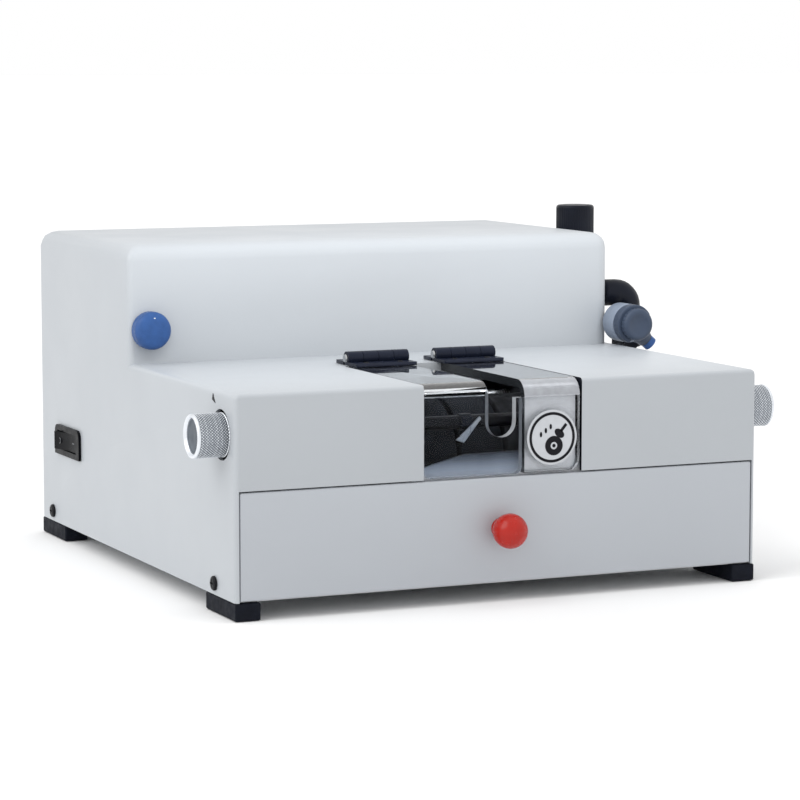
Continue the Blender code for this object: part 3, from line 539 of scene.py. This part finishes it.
def gathered(*shapes):
    """Several shapes as one mesh of separate closed bodies."""
    whole = bmesh.new()
    for bm in shapes:
        mesh = bpy.data.meshes.new("part")
        bm.to_mesh(mesh)
        bm.free()
        whole.from_mesh(mesh)
        bpy.data.meshes.remove(mesh)
    return whole


def oval(centre, across, up, lean, steps=28):
    """An ellipse's outline, leaning by an angle in degrees."""
    lean = math.radians(lean)
    points = []
    for step in range(steps):
        turn = math.tau * step / steps
        a = across * math.cos(turn)
        b = up * math.sin(turn)
        points.append((centre[0] + a * math.cos(lean) - b * math.sin(lean),
                       centre[1] + a * math.sin(lean) + b * math.cos(lean)))
    return points


def arc(centre, radius, first, last, steps):
    """Points of an arc between two angles in degrees, both ends included."""
    points = []
    for step in range(steps + 1):
        turn = math.radians(first + (last - first) * step / steps)
        points.append((centre[0] + radius * math.cos(turn), centre[1] + radius * math.sin(turn)))
    return points


def piece(name, bm, look, body, replaces=(), bevel=0.0, angle=38):
    """A finished visible piece: closed mesh, rounded edges, material, and the body that it rides on."""
    bmesh.ops.recalc_face_normals(bm, faces=bm.faces)
    mesh = bpy.data.meshes.new(name)
    bm.to_mesh(mesh)
    bm.free()
    obj = bpy.data.objects.new(name, mesh)
    bpy.context.scene.collection.objects.link(obj)
    mesh.materials.append(look.material)
    mesh.shade_smooth()
    mesh.set_sharp_from_angle(angle=math.radians(angle))
    if bevel:
        rounding = obj.modifiers.new("rounding", "BEVEL")
        rounding.width = bevel
        rounding.segments = BEVEL_SEGMENTS
        rounding.limit_method = "ANGLE"
        rounding.angle_limit = math.radians(angle)
    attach(obj, body)
    if replaces:
        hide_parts(*replaces)
    return obj


def cut_away(obj, bm):
    """Takes a closed shape away from a piece for good."""
    bmesh.ops.recalc_face_normals(bm, faces=bm.faces)
    mesh = bpy.data.meshes.new("cutter")
    bm.to_mesh(mesh)
    bm.free()
    cutter = bpy.data.objects.new("cutter", mesh)
    bpy.context.scene.collection.objects.link(cutter)
    recess = obj.modifiers.new("recess", "BOOLEAN")
    recess.operation = "DIFFERENCE"
    recess.object = cutter
    bpy.context.view_layer.update()
    graph = bpy.context.evaluated_depsgraph_get()
    obj.data = bpy.data.meshes.new_from_object(obj.evaluated_get(graph))
    obj.modifiers.clear()
    bpy.data.objects.remove(cutter, do_unlink=True)


def restyle(look, *names, angle=35):
    """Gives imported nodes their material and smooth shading, and leaves their shape as it is."""
    for name in names:
        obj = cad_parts[name]
        mesh = obj.data
        mesh.materials.clear()
        mesh.materials.append(look.material)
        if "custom_normal" in mesh.attributes:
            mesh.attributes.remove(mesh.attributes["custom_normal"])
        mesh.shade_smooth()
        weld = obj.modifiers.new("weld", "WELD")
        weld.merge_threshold = WELD
        split = obj.modifiers.new("crease", "EDGE_SPLIT")
        split.split_angle = math.radians(angle)


def painted(obj, look, chosen):
    """Gives the faces that chosen(normal, centre) picks a further material."""
    mesh = obj.data
    mesh.materials.append(look.material)
    index = len(mesh.materials) - 1
    for face in mesh.polygons:
        if chosen(face.normal, face.center):
            face.material_index = index


# ---------------------------------------------------------------- camera, light, floor

def camera():
    """Stands to the front left, a little above the deck, and looks slightly down."""
    made = bpy.data.objects.new("camera", bpy.data.cameras.new("camera"))
    bpy.context.scene.collection.objects.link(made)
    made.location = CAMERA_PLACE
    made.rotation_euler = (math.radians(CAMERA_PITCH), 0.0, math.radians(CAMERA_TURN))
    made.data.lens = CAMERA_LENS
    made.data.sensor_width = SENSOR
    bpy.context.scene.camera = made


def lamp(name, kind, power, way):
    """A light that shines along way."""
    data = bpy.data.lights.new(name, kind)
    data.energy = power
    obj = bpy.data.objects.new(name, data)
    obj.rotation_euler = Vector(way).to_track_quat("-Z", "Y").to_euler()
    bpy.context.scene.collection.objects.link(obj)
    return obj


def lights():
    """A very large soft light above and to the left, and a strip above the deck that nothing mirrors."""
    softbox = lamp("softbox", "SUN", SOFTBOX_POWER, SOFTBOX_WAY)
    softbox.data.angle = math.radians(SOFTBOX_SPREAD)
    strip = lamp("strip", "AREA", STRIP_POWER, STRIP_WAY)
    strip.data.shape = "RECTANGLE"
    strip.data.size, strip.data.size_y = STRIP_SIZE
    strip.location = at(*STRIP_PLACE)
    strip.visible_camera = False
    strip.visible_glossy = False


def studio():
    """A white room with a pale floor."""
    world = bpy.data.worlds.new("studio")
    world.use_nodes = True
    world.node_tree.nodes["Background"].inputs["Color"].default_value = (1.0, 1.0, 1.0, 1.0)
    bpy.context.scene.world = world
    bpy.context.scene.view_settings.view_transform = "Standard"
    mesh = bpy.data.meshes.new("floor")
    corners = [(x * FLOOR_REACH, y * FLOOR_REACH, 0) for x, y in ((-1, -1), (1, -1), (1, 1), (-1, 1))]
    mesh.from_pydata(corners, [], [(0, 1, 2, 3)])
    mesh.materials.append(studio_floor().material)
    floor = bpy.data.objects.new("floor", mesh)
    floor.location.z = -FLOOR_DROP
    bpy.context.scene.collection.objects.link(floor)


# ---------------------------------------------------------------- pieces

def knob_profile(radius, length):
    """A hand knob from its dished end to the wall, as (distance from the end, radius) pairs."""
    span = length - KNURL_END - KNURL_START
    pairs = [(0.0022, 0.0), (0.0022, radius - 0.0028), (0.0016, radius - 0.0025), (0.0003, radius - 0.0020),
             (0.0, radius - 0.0017), (0.0, radius - 0.0009), (0.0003, radius - 0.0004), (0.0010, radius)]
    pairs += [(KNURL_START + span * step / KNURL_STEPS, radius) for step in range(KNURL_STEPS + 1)]
    stem = radius - 0.0010
    return pairs + [(length - KNURL_END + 0.0004, stem), (length, stem), (length, 0.0)]


def rest_knob(side, metal, groove_painted_shade, dish):
    """A knurled hand knob: a turned rim, diamond knurling whose grooves are darkened with painted shade, and
    a dished dark end.
    """
    node = f"rest_knob_{side}"
    start, end, centre, radius = round_node(node, "X")
    outer, way = (start, 1) if side == "left" else (end, -1)
    length = end - start
    near, far = sorted((outer + way * KNURL_START, outer + way * (length - KNURL_END)))
    profile = [(outer + way * reach, across) for reach, across in knob_profile(radius, length)]
    bm = turned(profile, "X", centre, 6 * KNURL_TEETH, wave=knurl(near, far))
    knob = piece(f"{node}_knurled", bm, metal, "work_rest", (node,), angle=60)

    def in_groove(normal, place):
        if not near + GAP < place.x < far - GAP:
            return False
        return math.hypot(place.y - centre[0], place.z - centre[1]) < radius - GROOVE_SHARE * KNURL_DEPTH

    # Painted shade: the groove faces get a darker colour than the crests
    painted(knob, groove_painted_shade, in_groove)
    inset = [(0.0021, 0.0), (0.0018, 0.0020), (0.0017, 0.0060), (0.0019, radius - 0.0032),
             (0.0022, radius - 0.0031), (0.0022, 0.0)]
    bm = turned([(outer + way * reach, across) for reach, across in inset], "X", centre)
    piece(f"{node}_inset", bm, dish, "work_rest")


def rest_finger(black, blade_look):
    """The clamp collar on the rest's bar and the slanted blade in front of it."""
    low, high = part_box("rest_finger")
    bar = middle("rest_bar")
    left = low.x + COLLAR_INSET
    right = left + COLLAR_WIDTH
    shoulder = COLLAR_R - COLLAR_EDGE
    profile = [(left, COLLAR_BORE), (left, shoulder), (left + COLLAR_EDGE, COLLAR_R),
               (right - COLLAR_EDGE, COLLAR_R), (right, shoulder), (right, COLLAR_BORE)]
    collar = turned(profile, "X", (bar.y, bar.z), 48, bored=True)
    lug = block((left + 0.0012, bar.y + shoulder, bar.z - 0.0030), (right - 0.0012, high.y, bar.z + 0.0030))
    piece("rest_finger_collar", gathered(collar, lug), black, "work_rest", ("rest_finger",))
    outline = [(low.x, bar.z - 0.0100), (low.x + 0.0050, bar.z - 0.0120), (low.x + 0.0165, bar.z + 0.0020),
               (low.x + 0.0155, bar.z + 0.0035)]
    blade = prism(outline, "Y", low.y, bar.y - COLLAR_R - 0.0001)
    piece("rest_finger_blade", blade, blade_look, "work_rest", bevel=0.00035)


def ball_knob(red):
    """A ball on a short neck, which ends in a flange against the drawer's front."""
    front, _, centre, radius = round_node("drawer_knob", "Y")
    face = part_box("drawer_front")[0].y - GAP
    profile = [(front, 0.0)] + arc((front + radius, 0.0), radius, 180, BALL_END, BALL_STEPS)[1:]
    profile += [(face - 0.0016, BALL_NECK_R), (face - 0.0010, BALL_FLANGE_R), (face, BALL_FLANGE_R),
                (face, 0.0)]
    bm = turned(profile, "Y", centre)
    piece("drawer_ball_knob", bm, red, "drawer", ("drawer_knob",), angle=50)


def flow_knob(blue, mark):
    """Round blue knob with a soft crown, a finely ribbed skirt and a plain pointer line."""
    front, _, centre, radius = round_node("flow_knob", "Y")
    face = at(0.0, HUMP_FRONT, 0.0).y - GAP
    skirt, hem = front + FLOW_CROWN[-1][0], face - 0.0010
    steps = 10
    profile = [(front + reach, radius * share) for reach, share in FLOW_CROWN]
    profile += [(skirt + (hem - skirt) * step / steps, radius * 0.99) for step in range(1, steps)]
    profile += [(face - 0.0006, radius * 0.97), (face, radius * 0.94), (face, 0.0)]
    wave = ribs(FLOW_RIBS, FLOW_RIB_DEPTH, skirt + 0.0001, face - 0.0008)
    bm = turned(profile, "Y", centre, 4 * FLOW_RIBS, wave=wave)
    piece("flow_knob_crown", bm, blue, "water_knob", ("flow_knob",), angle=50)
    x, z = centre
    line = block((x - 0.0005, front + 0.0006, z + 0.0050), (x + 0.0005, front + 0.0014, z + 0.0084))
    piece("flow_knob_pointer", line, mark, "water_knob")


def reservoir(cap_look, bottle_look):
    """The bottle and its ribbed screw cap with a plain ring at its foot and a rounded top."""
    low, high, centre, radius = round_node("reservoir_cap", "Z")
    ribbed = radius - 0.0002
    steps = 8
    profile = [(high - 0.0030, 0.0), (high - 0.0030, CAP_BORE), (low + 0.0005, CAP_BORE),
               (low, CAP_BORE + 0.0004), (low, radius - 0.0004), (low + 0.0004, radius),
               (low + 0.0016, radius), (low + 0.0020, radius - 0.0003)]
    profile += [(low + 0.0022 + (high - low - 0.0046) * step / steps, ribbed) for step in range(steps + 1)]
    profile += [(high - 0.0018, ribbed), (high - 0.0008, radius - 0.0006), (high - 0.0002, radius - 0.0014),
                (high, radius - 0.0026), (high - 0.0003, radius - 0.0040), (high - 0.0003, 0.0)]
    wave = ribs(CAP_RIBS, CAP_RIB_DEPTH, low + 0.0021, high - 0.0020, inside=radius - 0.0005)
    bm = turned(profile, "Z", centre, 4 * CAP_RIBS, wave=wave)
    piece("reservoir_screw_cap", bm, cap_look, "bottle_cap", ("reservoir_cap",), angle=50)
    restyle(bottle_look, "reservoir_bottle", angle=30)


def cross_screw(name, axis, centre, face, rise, size, look, body, replaces=()):
    """A pan-head screw with a cross recess. Its head stands on a face and rises by 1 or -1 along the axis."""
    radius, height = size
    edge = face + rise * height * HEAD_EDGE
    profile = [(face, 0.0), (face, radius), (edge, radius)]
    for step in range(1, 9):
        turn = math.radians(90 * step / 8)
        up = face + rise * height * (HEAD_EDGE + (1.0 - HEAD_EDGE) * math.sin(turn))
        profile.append((up, radius * (HEAD_CROWN + (1.0 - HEAD_CROWN) * math.cos(turn))))
    top = face + rise * height
    profile.append((top, 0.0))
    obj = piece(name, turned(profile, axis, centre, 40), look, body, replaces, angle=40)
    arm, half = radius * CROSS_ARM, radius * CROSS_HALF
    cross = [(-half, -arm), (half, -arm), (half, -half), (arm, -half), (arm, half), (half, half),
             (half, arm), (-half, arm), (-half, half), (-arm, half), (-arm, -half), (-half, -half)]
    outline = [(centre[0] + a, centre[1] + b) for a, b in cross]
    cut_away(obj, prism(outline, axis, *sorted((top + rise * 0.001, face + rise * height * CROSS_FLOOR))))
    obj.data.set_sharp_from_angle(angle=math.radians(40))


def cover_screws(look):
    """Two screws in each side wall."""
    for side, face, rise in (("left", CASING_LOW.x - GAP, -1), ("right", CASING_HIGH.x + GAP, 1)):
        for end in ("front", "rear"):
            node = f"cover_screw_{end}_{side}"
            spot = middle(node)
            cross_screw(f"{node}_head", "X", (spot.y, spot.z), face, rise, COVER_SCREW, look,
                        "casing", (node,))


def back_details(look, brass_look):
    """Screws of the back panel and the inlet's three contacts."""
    low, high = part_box("back_panel")
    inset = BACK_SCREW_INSET
    for row, z in (("low", low.z + inset), ("high", high.z - inset)):
        for side, x in (("left", low.x + inset), ("right", high.x - inset)):
            cross_screw(f"back_screw_{row}_{side}", "Y", (x, z), high.y + 0.0002, 1, BACK_SCREW, look,
                        "casing")
    low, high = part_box("power_inlet")
    floor = high.y - INLET_DEPTH
    for name, across, up in CONTACTS:
        x, z = (low.x + high.x) / 2 + across, (low.z + high.z) / 2 + up
        blade = block((x - 0.0010, floor - 0.0004, z - 0.0020), (x + 0.0010, high.y - 0.0040, z + 0.0020))
        piece(f"inlet_contact_{name}", blade, brass_look, "casing", bevel=0.0003)


def guard_label(paper, ink):
    """Round generic pictogram: a ring round a wheel, a stone on its stick and falling drops of water."""
    face, back, (x, z), radius = round_node("guard_label", "Y")
    rim = [(back, 0.0), (back, radius), (face + 0.0001, radius), (face, radius - 0.0001), (face, 0.0)]
    piece("guard_label_disc", turned(rim, "Y", (x, z), 96), paper, "right_guard", ("guard_label",))
    front = face - 0.00012
    under = face + 0.00005

    def ring(centre, outer, inner, sides):
        pairs = [(under, inner), (under, outer), (front, outer), (front, inner)]
        return turned(pairs, "Y", centre, sides, bored=True)

    def dot(centre, across, up, lean):
        return prism(oval(centre, across, up, lean), "Y", front, under)

    wheel = (x + 0.0012, z - 0.0050)
    prints = [ring((x, z), radius * 0.915, radius * 0.815, 96), ring(wheel, 0.0058, 0.0022, 64),
              dot(wheel, 0.0011, 0.0011, 0), dot((x + 0.0048, z + 0.0022), 0.0036, 0.0023, -38)]
    start, end = Vector((x + 0.0058, z + 0.0034)), Vector((x + 0.0093, z + 0.0076))
    half = (end - start).orthogonal().normalized() * 0.0009
    prints.append(prism([start - half, end - half, end + half, start + half], "Y", front, under))
    for step in range(3):
        drop = (x - 0.0074 + 0.0032 * step, z + 0.0020 + 0.0022 * step)
        prints.append(dot(drop, 0.0008, 0.0016, 0))
    piece("guard_label_print", gathered(*prints), ink, "right_guard")


def guards(top, panel_painted_shade, clear, bend_painted_reflection, edge_painted_highlight, edge_painted_shade):
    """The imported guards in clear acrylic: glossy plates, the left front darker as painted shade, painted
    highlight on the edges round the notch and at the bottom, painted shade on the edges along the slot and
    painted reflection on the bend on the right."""
    restyle(top, "guard_left", "guard_right", angle=30)
    for name, front in (("guard_left", panel_painted_shade), ("guard_right", clear)):
        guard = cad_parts[name]
        low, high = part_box(name)
        # Fronts below the top: the left guard takes the darker tinted copy of the acrylic, painted shade; the
        # right one the clear copy
        painted(guard, front, lambda normal, place: abs(normal.y) > 0.7 and place.z < high.z - PANEL_DROP)
        # Painted highlight: the bottom faces of both guards get a light colour
        painted(guard, edge_painted_highlight, lambda normal, place: normal.z < -0.97 and place.z < low.z + 0.001)
    low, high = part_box("guard_left")

    def round_the_notch(normal, place):
        in_sheet = place.y < low.y + GUARD_SHEET and place.z < high.z - NOTCH_UNDER
        return in_sheet and place.x > low.x + NOTCH_FROM and abs(normal.y) < 0.05

    # Painted highlight on the faces round the notch
    painted(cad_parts["guard_left"], edge_painted_highlight, round_the_notch)
    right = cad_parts["guard_right"]
    # Painted shade: the right guard's side faces along the slot get a near-black colour
    painted(right, edge_painted_shade, lambda normal, place: abs(normal.x) > 0.97)
    # Painted reflection: the right guard's bend gets a whitish, less clear colour
    painted(right, bend_painted_reflection, lambda normal, place: normal.y < -0.25 and normal.z > 0.05)


def recess_edge(gap_painted_shade):
    """Black painted shade on the walls round the edge of the casing's recess, for the dark gap beside the
    guards.
    """
    low, high = at(*RECESS_LOW), at(*RECESS_HIGH)

    def on_edge(normal, place):
        inside = all(low[i] < place[i] < high[i] for i in range(3))
        return inside and abs(normal.z) < 0.1 and normal.y > -0.5

    # Painted shade: the recess's walls get a black rubber colour
    painted(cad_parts["main_cover"], gap_painted_shade, on_edge)


def liner(coating, lip):
    """The dark liner, with bare sheet on the lip that stands behind the guards; the lip's colour is painted
    shade.
    """
    restyle(coating, "splash_liner")
    low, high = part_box("splash_liner")

    def on_lip(normal, place):
        return place.y < low.y + LIP_DEPTH and place.z < high.z - LIP_DROP

    # The lip's faces take the sheet whose colour is painted shade, darker towards the top
    painted(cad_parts["splash_liner"], lip, on_lip)


def grinding_wheel(name, look):
    """A wheel with a grit band, bevelled shoulders, dished sides and a few worn grooves round the rim."""
    node = f"grinding_wheel_{name}"
    start, end, centre, radius = round_node(node, "X")
    steps = 24
    side = [(0.0, WHEEL_BORE), (0.0, WHEEL_HUB_R), (WHEEL_DISH, WHEEL_HUB_R + 0.002),
            (WHEEL_DISH, radius - 0.008), (0.0, radius - 0.006), (0.0, radius - 0.0010),
            (0.0003, radius - 0.0004)]
    profile = [(start + depth, across) for depth, across in side]
    for step in range(steps + 1):
        along = start + 0.001 + (end - start - 0.002) * step / steps
        profile.append((along, radius - WHEEL_WEAR * (1 + math.sin(step * 2.1))))
    profile += [(end - depth, across) for depth, across in reversed(side)]
    bm = turned(profile, "X", centre, 96, bored=True)
    piece(f"wheel_{name}", bm, look, "wheel_spindle", (node,), angle=30)


def feet(look):
    """Moulded rubber blocks with rounded edges."""
    for end in ("front", "rear"):
        for side in SIDES:
            name = f"foot_{end}_{side}"
            bm = block(*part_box(name))
            piece(f"{name}_block", bm, look, "casing", (name,), bevel=0.0009)


def on_rocker(y, lift):
    """A place on the rocker's tilted outer face, y from its hub and raised off the face by lift."""
    hub = at(*ROCKER_HUB)
    dx = MARK_SINK - ROCKER_RISE - ROCKER_SLOPE * abs(y) - lift - ROCKER_HUB[0]
    along = hub.x + dx * math.cos(ROCKER_TILT) - y * math.sin(ROCKER_TILT)
    return along, hub.y + dx * math.sin(ROCKER_TILT) + y * math.cos(ROCKER_TILT)


def switch(look, mark):
    """The power switch, with a bar and a ring printed on the two slopes of its rocker."""
    restyle(look, "switch_housing", "switch_rocker", angle=30)
    z = middle("switch_rocker").z
    near, far = ROCKER_BAR
    corners = [on_rocker(near, 0.0), on_rocker(far, 0.0)]
    corners += [on_rocker(far, MARK_LIFT), on_rocker(near, MARK_LIFT)]
    bar = prism(corners, "Z", z - 0.0004, z + 0.0004)
    piece("rocker_mark_on", bar, mark, "power_rocker")
    near, far = (on_rocker(y, 0.0) for y in ROCKER_RING)
    x, y = (near[0] + far[0]) / 2, (near[1] + far[1]) / 2
    outer, inner = x - MARK_LIFT, x + 0.0002
    profile = [(outer, 0.0014), (outer, 0.0020), (inner, 0.0020), (inner, 0.0014)]
    ring = turned(profile, "X", (y, z), 40, bored=True)
    piece("rocker_mark_off", ring, mark, "power_rocker")


def pointer_mark(ink):
    """A small printed arrow on the left wall, behind and above the hand knob."""
    knob = middle("rest_knob_left")
    face = CASING_LOW.x
    y, z = knob.y + 0.0118, knob.z + 0.0195
    outline = [(y - 0.0035, z - 0.0022), (y + 0.0005, z + 0.0030), (y + 0.0018, z - 0.0005)]
    piece("rest_pointer_mark", prism(outline, "X", face - PRINT, face + 0.0001), ink, "casing")


def regulator_barrel(front, centre, grey):
    """The round barrel behind the head, rounded at its rear."""
    seam, rear = front + HEAD_LENGTH, front + BARREL_LENGTH
    neck = BARREL_R - 0.0006
    profile = [(seam + 0.0002, 0.0), (seam + 0.0002, neck), (seam + 0.0006, neck), (seam + 0.0010, BARREL_R),
               (rear - 0.0030, BARREL_R), (rear - 0.0010, BARREL_R - 0.0010), (rear, BARREL_R - 0.0030),
               (rear, 0.0)]
    bm = turned(profile, "Y", centre, 96)
    piece("regulator_barrel", bm, grey, "casing", ("regulator_body",))


def regulator_head(front, centre, slate):
    """A flat head as round as the barrel, which tapers towards the spout and ends square, and the spout."""
    lean = math.degrees(math.atan2(SPOUT_WAY.z, SPOUT_WAY.x))
    spread = math.degrees(math.acos((BARREL_R - SPOUT_TIP_R) / SPOUT_REACH))
    tip = (centre[0] + SPOUT_REACH * SPOUT_WAY.x, centre[1] + SPOUT_REACH * SPOUT_WAY.z)
    outline = arc(centre, BARREL_R, lean + spread, lean + 360 - spread, 60)
    outline += arc(tip, SPOUT_TIP_R, lean - spread, lean + spread, 16)
    outline = [(x, z) for x, z in outline
               if (x - centre[0]) * SPOUT_WAY.x + (z - centre[1]) * SPOUT_WAY.z < SPOUT_CUT]
    head = prism(outline, "Y", front, front + HEAD_LENGTH)
    piece("regulator_head", head, slate, "casing", bevel=0.0010)
    profile = [(0.0, 0.0), (0.0, 0.0100), (0.0125, 0.0066), (0.0132, 0.0063), (0.0140, 0.0058),
               (0.0180, 0.0051), (0.0185, 0.0047), (0.0185, 0.0)]
    spout = turned(profile, "Z", (0.0, 0.0), 72)
    bmesh.ops.rotate(spout, verts=spout.verts, matrix=SPOUT_WAY.to_track_quat("Z", "Y").to_matrix())
    start = Vector((centre[0], front + SPOUT_BACK, centre[1]))
    bmesh.ops.translate(spout, verts=spout.verts, vec=start)
    piece("regulator_spout", spout, slate, "casing")


def elbow_fittings(rear, black):
    """The socket under the elbow's open end and the neck that joins it to the regulator's rear."""
    low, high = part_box("inlet_elbow")
    x, y = high.x - ELBOW_R, (low.y + high.y) / 2
    top = low.z - GAP
    inner = SOCKET_R - 0.0004
    profile = [(top - 0.0107, 0.0), (top - 0.0107, 0.0090), (top - 0.0100, SOCKET_R),
               (top - 0.0040, SOCKET_R), (top - 0.0036, inner), (top - 0.0030, SOCKET_R),
               (top - 0.0004, SOCKET_R), (top, inner), (top, 0.0)]
    piece("elbow_socket", turned(profile, "Z", (x, y), 72), black, "casing")
    front, back = rear - 0.0040, y - 0.0030
    profile = [(front, 0.0), (front, NECK_R), (back, NECK_R), (back, 0.0)]
    neck = turned(profile, "Y", (x - 0.0065, top - 0.0059), 48)
    piece("elbow_neck", neck, black, "casing")


def regulator_dial(slate):
    """A fluted dial with a raised ring round its hollow front."""
    front, back, centre, radius = round_node("regulator_knob", "Y")
    profile = [(front + reach, radius * share) for reach, share in DIAL_FACE]
    profile += [(front + 0.0020 + (back - front - 0.0026) * step / 5, radius * 0.985) for step in range(6)]
    profile += [(back - 0.0003, radius * 0.97), (back, radius * 0.95), (back, 0.0)]
    wave = ribs(DIAL_FLUTES, DIAL_FLUTE_DEPTH, front + 0.0019, back - 0.0004, power=2)
    bm = turned(profile, "Y", centre, 6 * DIAL_FLUTES, wave=wave)
    piece("regulator_dial", bm, slate, "pressure_knob", ("regulator_knob",), angle=50)


def regulator(grey, slate, blue, black):
    """The water fittings on the right: elbow, regulator with its dial and spout, and the supply's collet."""
    restyle(black, "inlet_elbow", angle=40)
    restyle(blue, "supply_collet", angle=35)
    _, dial_back, centre, _ = round_node("regulator_knob", "Y")
    front = dial_back + GAP
    regulator_barrel(front, centre, grey)
    regulator_head(front, centre, slate)
    elbow_fittings(front + BARREL_LENGTH, black)
    regulator_dial(slate)


def hinge_screws(look):
    """Two small cross-head screws in each leaf."""
    face = at(0.0, 0.0, DECK).z + GAP + LEAF - 0.0001
    from_end, from_edge = HINGE_SCREW_INSET
    for side in SIDES:
        for leaf, body in (("fixed", "casing"), ("moving", f"{side}_guard")):
            low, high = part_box(f"hinge_{leaf}_leaf_{side}")
            y = low.y + from_edge if leaf == "moving" else high.y - from_edge
            for name, x in (("near", low.x + from_end), ("far", high.x - from_end)):
                cross_screw(f"hinge_{leaf}_screw_{side}_{name}", "Z", (x, y), face, 1, HINGE_SCREW, look,
                            body)


def packed_looks(brass, black, screw_black):
    """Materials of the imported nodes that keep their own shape."""
    steel = brushed("ground_steel", (0.46, 0.47, 0.48), 0.28, "X")
    aluminium = brushed("turned_aluminium", (0.48, 0.50, 0.52), 0.34, "X")
    hinge_black = black_plastic("hinge_black", (0.0085, 0.0115, 0.0230), 0.32)
    plate = label_paper("white_backing", (0.74, 0.76, 0.80)).set("Roughness", 0.25)
    restyle(white_paint(), "main_cover", "back_panel", angle=32)
    restyle(drawer_paint(), "drawer_front", angle=32)
    restyle(plate, "guard_backing_plate")
    restyle(zinc(), "base_plate", "motor_cradle")
    restyle(tray_plastic(), "drawer_tray")
    restyle(steel, "spindle", "spindle_nut", "motor_shaft", "bearing_left", "bearing_right", "drip_manifold",
            "hinge_pin_left", "hinge_pin_right", "reservoir_clip_lower", "reservoir_clip_upper")
    restyle(aluminium, "bearing_block_left", "bearing_block_right", "wheel_spacer_1", "wheel_spacer_2",
            "spindle_pulley", "motor_pulley")
    restyle(brass, "flow_valve")
    restyle(screw_black, "rest_bar")
    restyle(black, "power_inlet")
    for side in SIDES:
        restyle(hinge_black, f"hinge_fixed_leaf_{side}", f"hinge_moving_leaf_{side}")
    restyle(rubber("belt_rubber", 0.7), "drive_belt", angle=50)
    restyle(motor_enamel(), "motor")


def recess(ink):
    """What is seen through and on the guards: liner, painted shade round the recess's edge, acrylic and
    label.
    """
    liner(dark_liner(), splash_lip_painted_shade())
    guards(clear_acrylic("acrylic_plate", (0.90, 0.93, 0.96), 1.49, 1.0),
           clear_acrylic("acrylic_panel_painted_shade", (0.74, 0.78, 0.84), 1.14, 0.0),
           clear_acrylic("acrylic_panel_clean", (0.97, 0.98, 0.99), 1.20, 0.0),
           acrylic_edge("acrylic_bend_painted_reflection", (0.52, 0.54, 0.58), 0.35),
           acrylic_edge("acrylic_edge_painted_highlight", (0.50, 0.52, 0.55), 0.25),
           acrylic_edge("acrylic_edge_painted_shade", (0.030, 0.034, 0.040), 0.5))
    recess_edge(rubber("recess_edge_painted_shade"))
    guard_label(label_paper("label_paper", (0.54, 0.56, 0.59)), ink)


def work_rest(black):
    metal = brushed("knurled_aluminium", (0.80, 0.83, 0.87), 0.36, "X")
    groove_painted_shade = brushed("knurl_groove_painted_shade", (0.24, 0.26, 0.29), 0.45, "X")
    dish = brushed("knob_inset", (0.105, 0.125, 0.150), 0.42, "X")
    for side in SIDES:
        rest_knob(side, metal, groove_painted_shade, dish)
    rest_finger(black, brushed("rest_blade", (0.34, 0.36, 0.38), 0.32, "X"))


def main():
    camera()
    lights()
    studio()
    brass = brushed("machined_brass", (0.62, 0.46, 0.22), 0.30, "Y")
    black = black_plastic()
    screw_black = black_plastic("black_oxide", (0.006, 0.006, 0.008), 0.35)
    ink = label_paper("label_ink", (0.006, 0.006, 0.009)).set("Specular IOR Level", 0.15)
    blue = blue_plastic()
    packed_looks(brass, black, screw_black)
    recess(ink)
    work_rest(black)
    hinge_screws(screw_black)
    pointer_mark(ink)
    ball_knob(gloss_red())
    flow_knob(blue, label_paper("white_marking", (0.70, 0.71, 0.73)))
    reservoir(black, polythene())
    regulator(grey_plastic("regulator_grey", (0.22, 0.26, 0.33)),
              grey_plastic("regulator_slate", (0.040, 0.056, 0.090)), blue, black)
    cover_screws(screw_black)
    back_details(screw_black, brass)
    grinding_wheel("coarse", abrasive("abrasive_coarse", (0.016, 0.018, 0.022), 0.0009))
    grinding_wheel("medium", abrasive("abrasive_medium", (0.014, 0.016, 0.020), 0.0006))
    grinding_wheel("fine", abrasive("abrasive_fine", (0.019, 0.020, 0.023), 0.0004))
    feet(rubber())
    switch(black_plastic("switch_black", (0.0012, 0.0016, 0.0030), 0.30).set("Specular IOR Level", 0.06),
           label_paper("switch_marking", (0.085, 0.090, 0.100)))


main()
